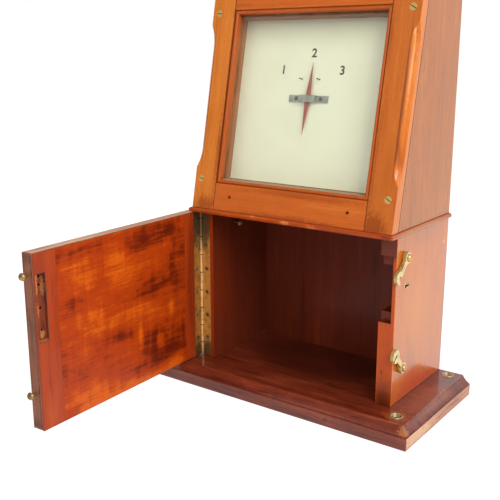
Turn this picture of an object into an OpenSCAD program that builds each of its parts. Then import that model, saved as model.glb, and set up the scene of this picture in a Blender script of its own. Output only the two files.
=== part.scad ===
// Needle indicator in a two-part wooden case: a glazed dial box that leans back
// over a lower compartment with a side-hung door.
// X runs to the right, Y to the back, Z up. The origin is the centre of the case
// plan on the underside of the base.

/* [Case] */
// Width over the side boards
case_w = 254; // [240:1:280]
// Depth of the lower case
case_d = 127; // [120:1:150]
// Height of the lower case
lower_h = 181; // [175:1:210]
// Height of the upper case
upper_h = 249; // [240:0.5:280]
// How far the front leans back, in degrees
lean = 11.3; // [9:0.1:12]
// Thickness of the side boards
side_t = 18; // [16:0.5:22]
// Thickness of the lower back board
lower_back_t = 18; // [10:0.5:20]
// Thickness of the upper back panel
back_panel_t = 12; // [8:0.5:16]
// Width of the rebate that a back board sits in
back_rebate = 9; // [6:0.5:12]
// Number of screws at each side of the upper back panel
back_screws = 4; // [3:1:6]
// From the end of that panel to its first screw
back_screw_end = 30.5; // [18:0.5:50]

/* [Base] */
// Thickness of the base board
base_t = 23; // [20:0.5:28]
// How far the base stands out at each side
base_side = 37.5; // [30:0.5:45]
// How far the base stands out at the front
base_front = 40; // [32:0.5:50]
// Height of the plain edge below the cove
base_edge_h = 14.5; // [10:0.5:16]
// Ledge between the plain edge and the cove
base_ledge = 0.8; // [0.4:0.1:1.5]
// Width of the cove
cove_w = 8.2; // [5:0.1:10]
// How far the cove dips below a straight line
cove_dip = 0.9; // [0.4:0.1:2]
// Rounding of the plain edge
base_round = 1.6; // [0.8:0.1:3]
// From the case's side out to the screw holes
hole_out = 14.5; // [13:0.5:22]
// Distance between the screw holes from front to back
hole_span_y = 132.5; // [110:0.5:140]
// From the back edge of the base to the back screw holes
hole_inset_back = 10.5; // [8:0.5:16]
// Radius of the screw holes
base_hole_r = 2.8; // [2:0.1:3.2]
// Outer radius of a brass screw cup
cup_r = 7.1; // [5.5:0.1:7.5]
// Depth of a screw cup's cone
cup_h = 3; // [2:0.1:4]
// Wall of a screw cup
cup_wall = 0.7; // [0.5:0.1:1]
// Radius of the fixing screws under the base
fixing_r = 2.2; // [1.5:0.1:2.6]
// Head radius of the fixing screws
fixing_head_r = 4.4; // [3.4:0.1:5]
// Length of the fixing screws
fixing_len = 45; // [35:1:60]
// From the front edge or the back board to a fixing screw
fixing_in = 16; // [8:1:24]

/* [Waist and top] */
// Thickness of the waist board
waist_t = 5.6; // [4.5:0.1:9]
// How far the waist board's round nose stands out
waist_over = 3; // [2:0.1:5]
// Thickness of the top board
top_t = 14; // [12:0.5:20]
// How far the top board stands out
top_over = 9; // [5:0.5:14]
// Radius of the top board's moulded edge
top_round = 8; // [5:0.5:10]
// Depth of the quirk below that round edge
top_quirk = 1.2; // [0.6:0.1:2]
// Side of a glue block
block_w = 15; // [10:0.5:18]
// Length of a glue block
block_len = 40; // [25:1:50]

/* [Dial frame] */
// Width of the stiles and rails
frame_w = 30.5; // [27:0.5:34]
// Thickness of the stiles and rails
frame_t = 13.7; // [12:0.1:17]
// Width of the sight bead
bead_w = 4.5; // [3.5:0.1:6]
// Radius of the sight bead's round nose
bead_r = 1.9; // [1.4:0.1:2.1]
// How far the bead lies below the frame's face
bead_drop = 0.3; // [0.1:0.1:1]
// Depth of the glass behind the frame's face
glass_y = 6.9; // [5:0.1:8]
// Thickness of the glass
glass_t = 2; // [1.5:0.1:2.5]
// Width of the rebate round the glass
glass_rebate = 5; // [3:0.5:7]
// Leg of the chamfer on the outer corners
chamfer_leg = 7; // [4:0.1:9]
// Plain length below and above the chamfer
chamfer_stop = 46.4; // [30:0.1:60]
// Length of the chamfer's curved stop
chamfer_run = 23; // [15:0.5:35]
// Height of the frame screws above the bottom, along the slope
frame_screw_z = 33.9; // [20:0.1:60]
// From the case's side to a frame screw
frame_screw_in = 8.8; // [6:0.1:12]
// Head radius of the frame screws
frame_head_r = 4; // [3:0.1:5]
// Length of the frame screws
frame_screw_len = 28; // [22:1:35]
// Distance between the two small holes in the bottom rail
rail_hole_span = 150.5; // [120:0.5:170]
// Height of those holes, along the slope
rail_hole_z = 16.3; // [8:0.1:22]
// Radius of those holes
rail_hole_r = 1.3; // [0.5:0.1:1.5]
// Depth of those holes
rail_hole_depth = 7; // [3:0.5:10]

/* [Dial] */
// Depth of the dial behind the frame's face
dial_y = 22; // [18:0.5:26]
// Thickness of the dial plate
dial_t = 1.2; // [0.8:0.1:2]
// How far the dial reaches past the opening
dial_lap = 3.5; // [1:0.5:6]
// How far the lining stands in at the sides
lining_side = 3.5; // [2.5:0.1:6]
// How far the lining stands in at top and bottom
lining_end = 7.5; // [5:0.1:9]
// Wall of the lining outside the opening
lining_wall = 4; // [2:0.1:4.4]
// Thickness of the movement board
board_t = 10; // [8:0.5:14]
// Gap from the movement board to each end of the slope
board_end = 16; // [12:0.5:30]
// Section of the movement board's battens
batten_w = 12; // [9:0.5:16]
// Head radius of the movement board's screws
board_head_r = 3.2; // [2.5:0.1:4]
// Length of the movement board's screws
board_screw_len = 20; // [16:1:24]
// From the end of the movement board to its screws
board_screw_in = 36; // [24:1:60]

/* [Needle] */
// Height of the needle's pivot above the middle of the dial opening
pivot_rise = 4.3; // [0:0.1:8]
// Overall length of the needle
needle_len = 77; // [60:1:90]
// Width of the needle at its middle
needle_w = 6.3; // [4:0.1:8]
// Thickness of the needle
needle_t = 0.6; // [0.4:0.1:1]
// Lean of the needle to the right at rest, in degrees
needle_rest = 3; // [0:0.5:6]
// Height of the needle above the dial
needle_gap = 2.2; // [1.6:0.1:2.6]
// Radius of the arbor
arbor_r = 1.1; // [0.8:0.1:1.5]
// Radius of the arbor's pivots
pivot_r = 0.6; // [0.4:0.05:0.7]
// Radius of the needle's collet
collet_r = 2.6; // [2:0.1:3.2]
// Gap between the collet and the dial
collet_clear = 0.5; // [0.3:0.1:0.8]
// Radius of the arbor hole in the dial and its board
arbor_hole_r = 3.4; // [3:0.1:5]
// Sideways distance of a stop pin from the needle's centre line
stop_x = 10.85; // [9:0.05:14]
// Height of the stop pins above the pivot
stop_z = 21; // [18:0.5:26]
// Radius of a stop pin
stop_r = 0.6; // [0.4:0.05:0.8]
// How far a stop pin stands out of the dial
stop_out = 6.5; // [4:0.1:7]
// Overall width of the bridge
bridge_w = 49; // [44:0.5:60]
// Height of the bridge strip
bridge_h = 7.5; // [5:0.1:10]
// Thickness of the bridge strip
bridge_t = 1.2; // [0.8:0.1:1.6]
// Half width of the bridge's raised part
bridge_mid = 8.6; // [7.5:0.1:12]
// Height of the raised part's underside above the dial
bridge_rise = 3.8; // [3.5:0.1:4.5]
// Sideways distance of the bridge screws
bridge_screw_x = 15.6; // [14:0.1:20]
// Head radius of the bridge screws
bridge_head_r = 2.3; // [1.8:0.1:2.6]
// Height of the bridge screws' heads
bridge_head_h = 1.2; // [0.8:0.1:1.6]

/* [Movement] */
// Length of the magnet bar
magnet_len = 44; // [30:1:46]
// Width of the magnet bar
magnet_w = 6; // [4:0.5:8]
// Thickness of the magnet bar
magnet_t = 3; // [2:0.5:5]
// Length of one coil former
coil_len = 30; // [20:1:36]
// Depth of a coil former's cheeks
coil_d = 26; // [24:0.5:28]
// Height of a coil former's cheeks
coil_h = 68; // [66:1:76]
// Depth of the space inside the coil
coil_space_d = 10; // [8:0.5:12]
// Height of the space inside the coil
coil_space_h = 52; // [50:1:54]
// Wall of the coil former
former_wall = 2; // [1.5:0.1:2.5]
// How far the winding lies below the edge of the cheeks
winding_in = 1; // [0.5:0.5:3]
// Space between the two coil formers
coil_gap = 6; // [5:0.5:10]
// Radius of the movement's small screws
foot_screw_r = 1.2; // [0.8:0.1:1.5]
// Head radius of those screws
foot_head_r = 2.6; // [2:0.1:3]
// Height of their heads
foot_head_h = 1.6; // [1:0.1:2]
// Length of those screws
foot_screw_len = 8; // [6:0.5:8]
// Thickness of the rear cock
cock_t = 2; // [1.5:0.1:3]
// Width of the rear cock's strip
cock_w = 12; // [10:0.5:16]
// Half width of the rear cock, inside its legs
cock_half = 46; // [42:0.5:52]
// Length of each foot
foot_len = 11; // [9:0.5:14]
// Clearance behind the coils
cock_clear = 3; // [1.5:0.5:6]
// Half length of the terminal block
terminal_half = 32; // [26:1:40]
// Height of the terminal block
terminal_h = 16; // [12:0.5:20]
// Depth of the terminal block
terminal_d = 8; // [6:0.5:12]
// Distance of the terminal block below the pivot
terminal_drop = 76; // [64:1:80]
// Radius of a terminal post
terminal_r = 2; // [1.5:0.1:3]
// Depth of a terminal post in its block
terminal_in = 6; // [4:0.5:7]
// How far a terminal post stands out
terminal_out = 8; // [6:0.5:10]
// Radius of a terminal's collar and nut
terminal_nut_r = 3.6; // [3:0.1:4.5]
// Thickness of a terminal's collar
terminal_collar = 1.5; // [1:0.1:2]
// Thickness of a terminal's nut
terminal_nut = 3.5; // [2.5:0.1:4]
// Radius of the lead wires
wire_r = 0.7; // [0.4:0.1:1]
// Radius of the bends in the lead wires
wire_bend_r = 1; // [0.8:0.1:1.4]
// Radius of the wire hole in the upper back panel
wire_hole_r = 6; // [4:0.5:9]
// Height of the wire hole above the waist board
wire_hole_z = 26; // [20:1:40]

/* [Door] */
// How far the door's free edge stands back from the case's side
door_back = 1.2; // [0.8:0.1:2]
// Thickness of the door
door_t = 13.4; // [12:0.1:16]
// Gap above and below the door
door_gap = 0.8; // [0.5:0.1:2]
// How far the door stands open at rest, in degrees
door_open = 88; // [60:1:120]
// Width of the door's end clamps
clamp_w = 29; // [22:0.5:36]
// From the hinge pin's axis to the door's hinged edge
door_set = 0.9; // [0.6:0.1:1.2]
// Height of the lock keep's recess
keep_h = 67.2; // [55:0.1:75]
// Width of the lock keep's recess
keep_w = 11.9; // [8:0.1:14]
// Depth of the lock keep's recess
keep_depth = 3.4; // [2:0.1:5]
// From the free edge to the lock keep's recess
keep_in = 3.5; // [2.5:0.1:6]
// From the door's top to the lock keep's recess
keep_drop = 21.1; // [15:0.1:26]
// Radius of the small screw holes left in that recess
keep_hole_r = 1.3; // [0.5:0.1:1.4]
// Depth of those screw holes
keep_hole_depth = 1.4; // [1:0.1:1.6]
// From the recess's outer side to those screw holes
keep_hole_in = 5.9; // [2:0.1:8]
// Heights of those screw holes below the top of the recess
keep_holes = [3, 11, 34, 56]; // [2:1:60]

/* [Hinge] */
// Gap between the case and the closed door
hinge_gap = 1.8; // [1.8:0.1:2.4]
// How far the pin lies inside the case's side
pin_in = 0.3; // [0:0.1:0.6]
// Width of a leaf from the pin
leaf_w = 12.8; // [11:0.1:15]
// Thickness of a leaf
leaf_t = 0.8; // [0.6:0.1:0.8]
// Radius of the knuckles
knuckle_r = 2.2; // [1.9:0.1:2.4]
// From one knuckle to the next
knuckle_pitch = 22; // [15:0.5:30]
// Length of the top knuckle, where the strip was cut
knuckle_first = 9.2; // [5:0.1:16]
// Gap between knuckles
knuckle_gap = 0.3; // [0.2:0.05:0.5]
// Radius of the hinge pin
pin_r = 1.15; // [0.9:0.05:1.3]
// Number of screws in a leaf
leaf_screws = 6; // [4:1:8]
// From the top of a leaf to its first screw
leaf_screw_end = 12.7; // [10:0.1:24]
// From one leaf screw to the next
leaf_screw_pitch = 28.7; // [24:0.1:31]
// From the pin to the leaf screws
leaf_screw_x = 8; // [7:0.1:9]
// Head radius of the leaf screws
leaf_head_r = 2.5; // [2:0.1:2.9]
// Length of the leaf screws
leaf_screw_len = 11; // [8:0.5:12]

/* [Hooks and studs] */
// From a hook's pivot to its slot
hook_len = 25; // [20:0.5:28]
// Height of the lower hook above the base
lower_hook_z = 39.5; // [32:0.5:60]
// Height of the upper hook below the waist board
upper_hook_drop = 22.5; // [22:0.5:40]
// Radius of a hook's pivot boss
hook_boss_r = 6; // [4:0.1:6.4]
// Radius of a hook's head
hook_head_r = 7.3; // [5:0.1:7.5]
// Width of a hook's stem
hook_stem_w = 5.6; // [3.5:0.1:6.5]
// Thickness of a hook
hook_t = 4; // [1.6:0.1:4.5]
// Upper hook's slope below level at rest, in degrees
upper_hook_rest = 45; // [30:1:60]
// Lower hook's slope above level at rest, in degrees
lower_hook_rest = 45; // [30:1:60]
// How far the upper hook's mouth flares, in degrees
upper_hook_flare = 28; // [0:1:32]
// Thickness of the washer behind a hook
washer_t = 1; // [0.4:0.1:1.4]
// Radius of that washer
washer_r = 5; // [3:0.1:5.5]
// Radius of the hooks' pivot screws
pivot_screw_r = 1.6; // [1.2:0.05:2]
// Radius of the door studs
stud_r = 1.5; // [1.2:0.1:1.8]
// Head radius of the door studs and pivot screws
dome_r = 4; // [3:0.1:5]
// Height of a domed head
dome_h = 3.2; // [2:0.1:3.6]
// Depth of the studs and pivot screws in the wood
stud_len = 13; // [10:0.5:16]
// From the lower case's front edge to the wall stud
wall_stud_y = 42; // [34:0.1:60]
// Height of the wall stud below the waist board
wall_stud_drop = 19.8; // [12:0.1:36]
// How far the wall stud's head stands off the wall
wall_stud_out = 8; // [0.5:0.5:12]

/* [Lock mortise] */
// From the waist board down to the mortise
mortise_drop = 19.5; // [12:0.5:30]
// Height of the mortise's shallow part
mortise_h = 71; // [60:0.5:75]
// Depth of the mortise's shallow part
mortise_front = 6.4; // [4:0.1:9]
// Height of the mortise's deep part
mortise_deep_h = 50; // [40:0.5:55]
// Depth of the mortise's deep part
mortise_deep = 39; // [34:0.5:45]
// Wood left outside the mortise
mortise_skin = 4; // [3:0.1:6]
// From the front edge to the keyhole's round end
keyhole_y = 23.3; // [20:0.1:30]
// Height of the keyhole below the waist board
keyhole_drop = 55; // [49:0.5:61]
// Radius of the keyhole's round end
keyhole_r = 2.2; // [1.4:0.1:2.6]
// Width of the keyhole's slot
keyhole_slot = 2; // [1.4:0.1:2.6]
// Length of the keyhole's slot from the round end's centre
keyhole_len = 7.3; // [4:0.1:9]
// Wall of the keyhole's brass lining
keyhole_wall = 0.8; // [0.5:0.1:1.2]

/* [Fits] */
// Clearance round a screw or pin in wood
wood_fit = 0.05; // [0.02:0.01:0.1]
// Radial clearance of a pivot or hinge pin
run_fit = 0.05; // [0.02:0.01:0.1]
// Clearance at the edge of a fitted board or glass
board_fit = 0.2; // [0.1:0.05:0.4]
// Clearance where a moving piece passes another
pass_fit = 0.35; // [0.25:0.05:0.5]
// Width of a screw's slot
slot_w = 0.8; // [0.5:0.1:1]
// Depth of a screw's slot
slot_d = 0.7; // [0.4:0.1:1]

/* [Hidden] */
$fn = 48;
eps = 0.01;
far = 1000;

cove_h = base_t - base_edge_h;
cove_chord = norm([cove_w, cove_h]);
cove_r = cove_chord * cove_chord / (8 * cove_dip) + cove_dip / 2;
cove_mid = [-base_ledge - cove_w / 2, base_edge_h + cove_h / 2];
cove_centre = cove_mid + (cove_r - cove_dip) * [cove_h, cove_w] / cove_chord;

upper_z = base_t + lower_h + waist_t;
top_z = upper_z + upper_h;
wall_y = case_d / 2;
inner_x = case_w / 2 - side_t;
front_y = -(wall_y + hinge_gap + door_t);

slope_len = upper_h / cos(lean);
opening_z = slope_len / 2;
pivot_z = opening_z + pivot_rise;
open_w = case_w - 2 * frame_w;
open_h = slope_len - 2 * frame_w;

board_y = dial_y + dial_t;
board_back = board_y + board_t;
needle_y = dial_y - needle_gap - needle_t;
bridge_y = dial_y - bridge_rise - bridge_t;
coil_y = board_back + coil_d / 2;
cock_y = board_back + coil_d + cock_clear;
cheek_h = coil_h / 2;

hole_span_x = case_w + 2 * hole_out;
hole_back_y = wall_y - hole_inset_back;
cup_foot_r = base_hole_r + cup_wall;
hole_mid_y = hole_back_y - hole_span_y / 2;

pin_x = -case_w / 2 + pin_in;
pin_y = -wall_y - hinge_gap / 2;
door_z = base_t + door_gap;
door_h = lower_h - 2 * door_gap;
door_in_y = -wall_y - hinge_gap;
door_free_x = case_w / 2 - door_back;
door_hinge_x = pin_x + door_set;
door_mid_y = door_in_y - door_t / 2;
knuckles = round((door_h - knuckle_first) / knuckle_pitch) + 1;
leaf_screw_r = leaf_head_r / 2;
back_screw_pitch = (upper_h - 2 * back_screw_end) / (back_screws - 1);
bridge_shank_r = bridge_head_r / 2;
bridge_shank = bridge_t + dial_t + board_t / 2;

upper_hook_z = lower_h - upper_hook_drop;
wall_stud_z = lower_h - wall_stud_drop;
hook_x = case_w / 2 + washer_t;
hook_y = door_mid_y + hook_len;
head_x = hook_x + hook_t + board_fit;

mortise_z = lower_h - mortise_drop - mortise_h;
mortise_deep_z = mortise_z + (mortise_h - mortise_deep_h) / 2;
keyhole_z = lower_h - keyhole_drop;

// Frames that the pieces are drawn in

// On the sloping front: X across, Y into the case, Z up the slope from its bottom edge
module on_slope() {
    translate([0, front_y, upper_z]) rotate([-lean, 0, 0]) children();
}

// On the sloping front, with the middle of the dial opening as the centre
module on_opening() {
    on_slope() translate([0, 0, opening_z]) children();
}

// On the sloping front, with the needle's pivot as the centre
module on_pivot() {
    on_slope() translate([0, 0, pivot_z]) children();
}

// From the closed door to the door as it stands open
module opened() {
    translate([pin_x, pin_y, 0]) rotate([0, 0, -door_open]) translate([-pin_x, -pin_y, 0]) children();
}

// A flat outline in X and Z, given thickness t from depth y
module slab(y, t) {
    translate([0, y + t, 0]) rotate([90, 0, 0]) linear_extrude(t) children();
}

// Both sides of the case
module both_sides() {
    children();
    mirror([1, 0, 0]) children();
}

// The height of the upper case, between level planes
module upper_height() {
    translate([-far / 2, -far / 2, upper_z]) cube([far, far, upper_h]);
}

// Fasteners: the head's top is at the origin, and the shank runs down -Z

module countersunk(head_r, shank_r, len, turn = 0) {
    head_h = head_r - shank_r;
    difference() {
        union() {
            translate([0, 0, -head_h]) cylinder(h = head_h, r1 = shank_r, r2 = head_r);
            translate([0, 0, -len]) cylinder(h = len - head_h + eps, r = shank_r);
        }
        rotate([0, 0, turn]) translate([-far / 2, -slot_w / 2, -slot_d]) cube([far, slot_w, far]);
    }
}

module countersunk_hole(head_r, shank_r, len) {
    head_h = head_r - shank_r;
    translate([0, 0, -head_h]) cylinder(h = head_h, r1 = shank_r + wood_fit, r2 = head_r + wood_fit);
    translate([0, 0, -eps]) cylinder(h = 1, r = head_r + wood_fit);
    translate([0, 0, -len]) cylinder(h = len, r = shank_r + wood_fit);
}

// Here the origin is under the head, and the domed head rises along +Z
module domed(head_r, head_h, shank_r, len, turn = 0) {
    ball_r = (head_r * head_r + head_h * head_h) / (2 * head_h);
    difference() {
        union() {
            intersection() {
                translate([0, 0, head_h - ball_r]) sphere(r = ball_r);
                cylinder(h = head_h + 1, r = head_r);
            }
            translate([0, 0, -len]) cylinder(h = len + eps, r = shank_r);
        }
        rotate([0, 0, turn]) translate([-far / 2, -slot_w / 2, head_h - slot_d]) cube([far, slot_w, far]);
    }
}

// Base

// Half of the base's moulded edge: the board fills the negative side of X = 0
module base_edge() {
    difference() {
        translate([-far, 0]) square([far, base_t]);
        translate(cove_centre) circle(r = cove_r, $fn = 180);
        polygon([[-base_ledge, base_edge_h], [far, base_edge_h], [far, far], [-base_ledge - cove_w, far],
            [-base_ledge - cove_w, base_t]]);
        translate([-base_round, base_edge_h - base_round]) difference() {
            square([far, base_round - eps]);
            circle(r = base_round);
        }
        translate([-base_round, 0]) mirror([0, 1]) translate([0, -base_round]) difference() {
            square([far, far]);
            circle(r = base_round);
        }
    }
}

module base_shape() {
    base_half = case_w / 2 + base_side;
    intersection() {
        rotate([90, 0, 0]) translate([0, 0, -far / 2]) linear_extrude(far) intersection() {
            translate([base_half, 0]) base_edge();
            mirror([1, 0]) translate([base_half, 0]) base_edge();
        }
        translate([-far / 2, 0, 0]) rotate([90, 0, 90]) linear_extrude(far)
            translate([-wall_y - base_front, 0]) mirror([1, 0]) base_edge();
        translate([-far / 2, wall_y - far, -1]) cube([far, far, far]);
    }
}

module at_base_holes() {
    for (x = [-1, 1], y = [-1, 1])
        translate([x * hole_span_x / 2, hole_mid_y + y * hole_span_y / 2, base_t]) children();
}

module at_fixings() {
    first_y = fixing_in - wall_y;
    last_y = wall_y - lower_back_t - fixing_in;
    for (x = [-1, 1], y = [first_y, (first_y + last_y) / 2, last_y])
        translate([x * (case_w - side_t) / 2, y, 0]) mirror([0, 0, 1]) children();
}

module base_board() {
    color([0.5, 0.25, 0.18]) difference() {
        base_shape();
        at_base_holes() {
            translate([0, 0, -base_t - 1]) cylinder(h = base_t + 2, r = base_hole_r);
            translate([0, 0, -cup_h]) cylinder(h = cup_h + eps, r1 = cup_foot_r, r2 = cup_r - cup_wall);
        }
        at_fixings() countersunk_hole(fixing_head_r, fixing_r, fixing_len);
    }
}

module base_cups() {
    color([0.78, 0.6, 0.3]) at_base_holes() difference() {
        union() {
            translate([0, 0, wood_fit]) cylinder(h = cup_wall, r1 = cup_r, r2 = cup_r - cup_wall);
            translate([0, 0, wood_fit - cup_h]) cylinder(h = cup_h, r1 = cup_foot_r, r2 = cup_r - cup_wall);
        }
        translate([0, 0, -base_t]) cylinder(h = base_t * 2, r = base_hole_r);
        translate([0, 0, cup_wall + wood_fit - cup_h])
            cylinder(h = cup_h + eps, r1 = base_hole_r, r2 = cup_r - 2 * cup_wall);
    }
}

module base_fixing_screws() {
    color([0.45, 0.43, 0.4]) at_fixings() countersunk(fixing_head_r, fixing_r, fixing_len, 30);
}

// Lower case

module lower_side() {
    translate([inner_x, -wall_y, base_t]) difference() {
        cube([side_t, case_d, lower_h]);
        translate([-eps, case_d - lower_back_t, -eps]) cube([back_rebate, far, far]);
    }
}

module hinge_clearance() {
    translate([pin_x, pin_y, 0]) cylinder(h = far, r = knuckle_r + pass_fit);
}

module at_leaf_screws() {
    for (i = [0 : leaf_screws - 1])
        translate([pin_x + leaf_screw_x, 0, door_z + door_h - leaf_screw_end - i * leaf_screw_pitch])
            children();
}

module at_case_leaf_screws() {
    at_leaf_screws() translate([0, -wall_y - leaf_t, 0]) rotate([90, 0, 0]) children();
}

module at_door_leaf_screws() {
    at_leaf_screws() translate([0, door_in_y + leaf_t, 0]) rotate([-90, 0, 0]) children();
}

module at_wall_stud() {
    translate([-inner_x, wall_stud_y - wall_y, base_t + wall_stud_z]) rotate([0, 90, 0]) children();
}

module lower_left_side() {
    color([0.55, 0.2, 0.1]) difference() {
        mirror([1, 0, 0]) lower_side();
        hinge_clearance();
        at_case_leaf_screws() countersunk_hole(leaf_head_r, leaf_screw_r, leaf_screw_len);
        at_wall_stud() translate([0, 0, -stud_len]) cylinder(h = stud_len + 1, r = stud_r + wood_fit);
        at_fixings() countersunk_hole(fixing_head_r, fixing_r, fixing_len);
    }
}

module keyhole_shape(extra = 0) {
    circle(r = keyhole_r + extra);
    translate([0, -keyhole_slot / 2 - extra]) square([keyhole_len + extra, keyhole_slot + 2 * extra]);
}

module at_keyhole() {
    translate([case_w / 2, keyhole_y - wall_y, base_t + keyhole_z]) rotate([90, 0, 90]) children();
}

module at_hook(height) {
    translate([case_w / 2, hook_y, base_t + height]) rotate([0, 90, 0]) children();
}

module lower_right_side() {
    skin_x = case_w / 2 - mortise_skin;
    color([0.75, 0.42, 0.25]) difference() {
        lower_side();
        translate([skin_x - far, -wall_y - far, base_t + mortise_z]) cube([far, far + mortise_front, mortise_h]);
        translate([skin_x - far, -wall_y - far, base_t + mortise_deep_z])
            cube([far, far + mortise_deep, mortise_deep_h]);
        at_keyhole() translate([0, 0, -far / 2]) linear_extrude(far) keyhole_shape(keyhole_wall);
        for (height = [lower_hook_z, upper_hook_z])
            at_hook(height) translate([0, 0, -stud_len]) cylinder(h = stud_len + 1, r = pivot_screw_r + wood_fit);
        at_fixings() countersunk_hole(fixing_head_r, fixing_r, fixing_len);
    }
}

module lower_back_board() {
    half = inner_x + back_rebate - board_fit;
    color([0.3, 0.12, 0.08])
        translate([-half, wall_y - lower_back_t, base_t]) cube([2 * half, lower_back_t, lower_h]);
}

module keyhole_lining() {
    color([0.8, 0.66, 0.4]) at_keyhole() translate([0, 0, -mortise_skin]) linear_extrude(mortise_skin + wood_fit)
        difference() {
            keyhole_shape(keyhole_wall - wood_fit);
            keyhole_shape();
        }
}

module wall_stud() {
    color([0.75, 0.6, 0.35]) at_wall_stud() translate([0, 0, wall_stud_out])
        domed(dome_r, dome_h, stud_r, stud_len + wall_stud_out, 20);
}

// Waist and top

module waist_board() {
    nose = waist_t / 2;
    half = case_w / 2 + waist_over - nose;
    front = front_y - waist_over + nose;
    color([0.72, 0.36, 0.16]) translate([0, 0, base_t + lower_h]) intersection() {
        rotate([90, 0, 0]) translate([0, 0, -far / 2]) linear_extrude(far) {
            translate([-half, 0]) square([2 * half, waist_t]);
            for (x = [-half, half]) translate([x, nose]) circle(r = nose);
        }
        translate([-far / 2, 0, 0]) rotate([90, 0, 90]) linear_extrude(far) {
            translate([front, 0]) square([wall_y - front, waist_t]);
            translate([front, nose]) circle(r = nose);
        }
    }
}

module top_edge() {
    difference() {
        translate([-far, 0]) square([far, top_t]);
        translate([-top_round, top_t - top_round]) difference() {
            square([far, far]);
            circle(r = top_round);
        }
        translate([-top_quirk, top_t - top_round - top_quirk]) square([far, top_quirk]);
    }
}

module top_board() {
    half = case_w / 2 + top_over;
    front = front_y + tan(lean) * upper_h - top_over;
    color([0.72, 0.36, 0.16]) translate([0, 0, top_z]) intersection() {
        rotate([90, 0, 0]) translate([0, 0, -far / 2]) linear_extrude(far) intersection() {
            translate([half, 0]) top_edge();
            mirror([1, 0]) translate([half, 0]) top_edge();
        }
        translate([-far / 2, 0, 0]) rotate([90, 0, 90]) linear_extrude(far)
            translate([front, 0]) mirror([1, 0]) top_edge();
        translate([-far / 2, wall_y - far, -1]) cube([far, far, far]);
    }
}

module glue_block() {
    rotate([90, 0, 0]) translate([0, 0, -block_len]) linear_extrude(block_len)
        polygon([[0, 0], [block_w, 0], [0, block_w]]);
}

module glue_blocks() {
    block_y = wall_y - back_panel_t - block_len - board_fit;
    color([0.6, 0.42, 0.25]) both_sides() {
        translate([-inner_x, block_y, upper_z]) glue_block();
        translate([-inner_x, block_y, top_z]) mirror([0, 0, 1]) glue_block();
    }
}

// Upper case

module upper_side() {
    front = front_y + frame_t / cos(lean);
    translate([inner_x, 0, upper_z]) difference() {
        rotate([90, 0, 90]) linear_extrude(side_t)
            polygon([[front, 0], [wall_y, 0], [wall_y, upper_h], [front + tan(lean) * upper_h, upper_h]]);
        translate([-eps, wall_y - back_panel_t, -1]) cube([back_rebate, far, far]);
    }
}

module at_frame_screws() {
    for (z = [frame_screw_z, slope_len - frame_screw_z])
        on_slope() translate([case_w / 2 - frame_screw_in, 0, z]) rotate([90, 0, 0]) children();
}

module at_back_screws() {
    for (i = [0 : back_screws - 1])
        translate([inner_x + back_rebate / 2, wall_y, upper_z + back_screw_end + i * back_screw_pitch])
            rotate([-90, 0, 0]) children();
}

module upper_side_with_holes() {
    difference() {
        upper_side();
        at_frame_screws() countersunk_hole(frame_head_r, frame_head_r / 2, frame_screw_len);
        at_back_screws() countersunk_hole(frame_head_r, frame_head_r / 2, frame_screw_len);
    }
}

module upper_left_side() {
    color([0.78, 0.42, 0.2]) mirror([1, 0, 0]) upper_side_with_holes();
}

module upper_right_side() {
    color([0.78, 0.42, 0.2]) upper_side_with_holes();
}

module upper_back_panel() {
    half = inner_x + back_rebate - board_fit;
    color([0.62, 0.32, 0.16]) difference() {
        translate([-half, wall_y - back_panel_t, upper_z + board_fit])
            cube([2 * half, back_panel_t, upper_h - 2 * board_fit]);
        both_sides() at_back_screws() countersunk_hole(frame_head_r, frame_head_r / 2, frame_screw_len);
        translate([0, wall_y, upper_z + wire_hole_z]) rotate([90, 0, 0]) translate([0, 0, -1])
            cylinder(h = back_panel_t + 2, r = wire_hole_r);
    }
}

module back_panel_screws() {
    color([0.75, 0.58, 0.3]) both_sides() at_back_screws()
        countersunk(frame_head_r, frame_head_r / 2, frame_screw_len, 35);
}

// Dial frame

// The chamfer on a stile's outer corner, with a curved stop at each end
module stopped_chamfer() {
    depth = chamfer_leg / sqrt(2);
    stop_r = (chamfer_run * chamfer_run + depth * depth) / (2 * depth);
    full_z = chamfer_stop + chamfer_run;
    on_slope() translate([case_w / 2, 0, 0]) rotate([0, 0, 45]) {
        translate([-far / 2, depth - far, full_z]) cube([far, far, slope_len - 2 * full_z]);
        for (z = [full_z, slope_len - full_z])
            translate([-far / 2, depth - stop_r, z]) rotate([0, 90, 0]) cylinder(h = far, r = stop_r, $fn = 96);
    }
}

// The bars of the frame before they are trimmed level, from x, width w, from z, height h
module frame_bar(x, w, z, h) {
    translate([x, 0, z]) cube([w, frame_t, h]);
}

module glass_seat() {
    half = open_w / 2 + glass_rebate;
    on_opening() translate([-half, glass_y - board_fit, -open_h / 2 - glass_rebate])
        cube([2 * half, far, open_h + 2 * glass_rebate]);
}

module right_stile_shape() {
    difference() {
        intersection() {
            on_slope() frame_bar(open_w / 2, frame_w, -frame_t, slope_len + 2 * frame_t);
            upper_height();
        }
        glass_seat();
        stopped_chamfer();
        at_frame_screws() countersunk_hole(frame_head_r, frame_head_r / 2, frame_screw_len);
    }
}

module left_stile() {
    color([0.8, 0.44, 0.17]) mirror([1, 0, 0]) right_stile_shape();
}

module right_stile() {
    color([0.8, 0.44, 0.17]) right_stile_shape();
}

module bottom_rail() {
    color([0.8, 0.42, 0.16]) difference() {
        intersection() {
            on_slope() frame_bar(-open_w / 2, open_w, -frame_t, frame_w + frame_t);
            upper_height();
        }
        glass_seat();
        for (x = [-1, 1])
            on_slope() translate([x * rail_hole_span / 2, rail_hole_depth, rail_hole_z]) rotate([90, 0, 0])
                cylinder(h = far, r = rail_hole_r);
    }
}

module top_rail() {
    color([0.8, 0.42, 0.16]) difference() {
        intersection() {
            on_slope() frame_bar(-open_w / 2, open_w, slope_len - frame_w, frame_w + frame_t);
            upper_height();
        }
        glass_seat();
    }
}

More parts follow.
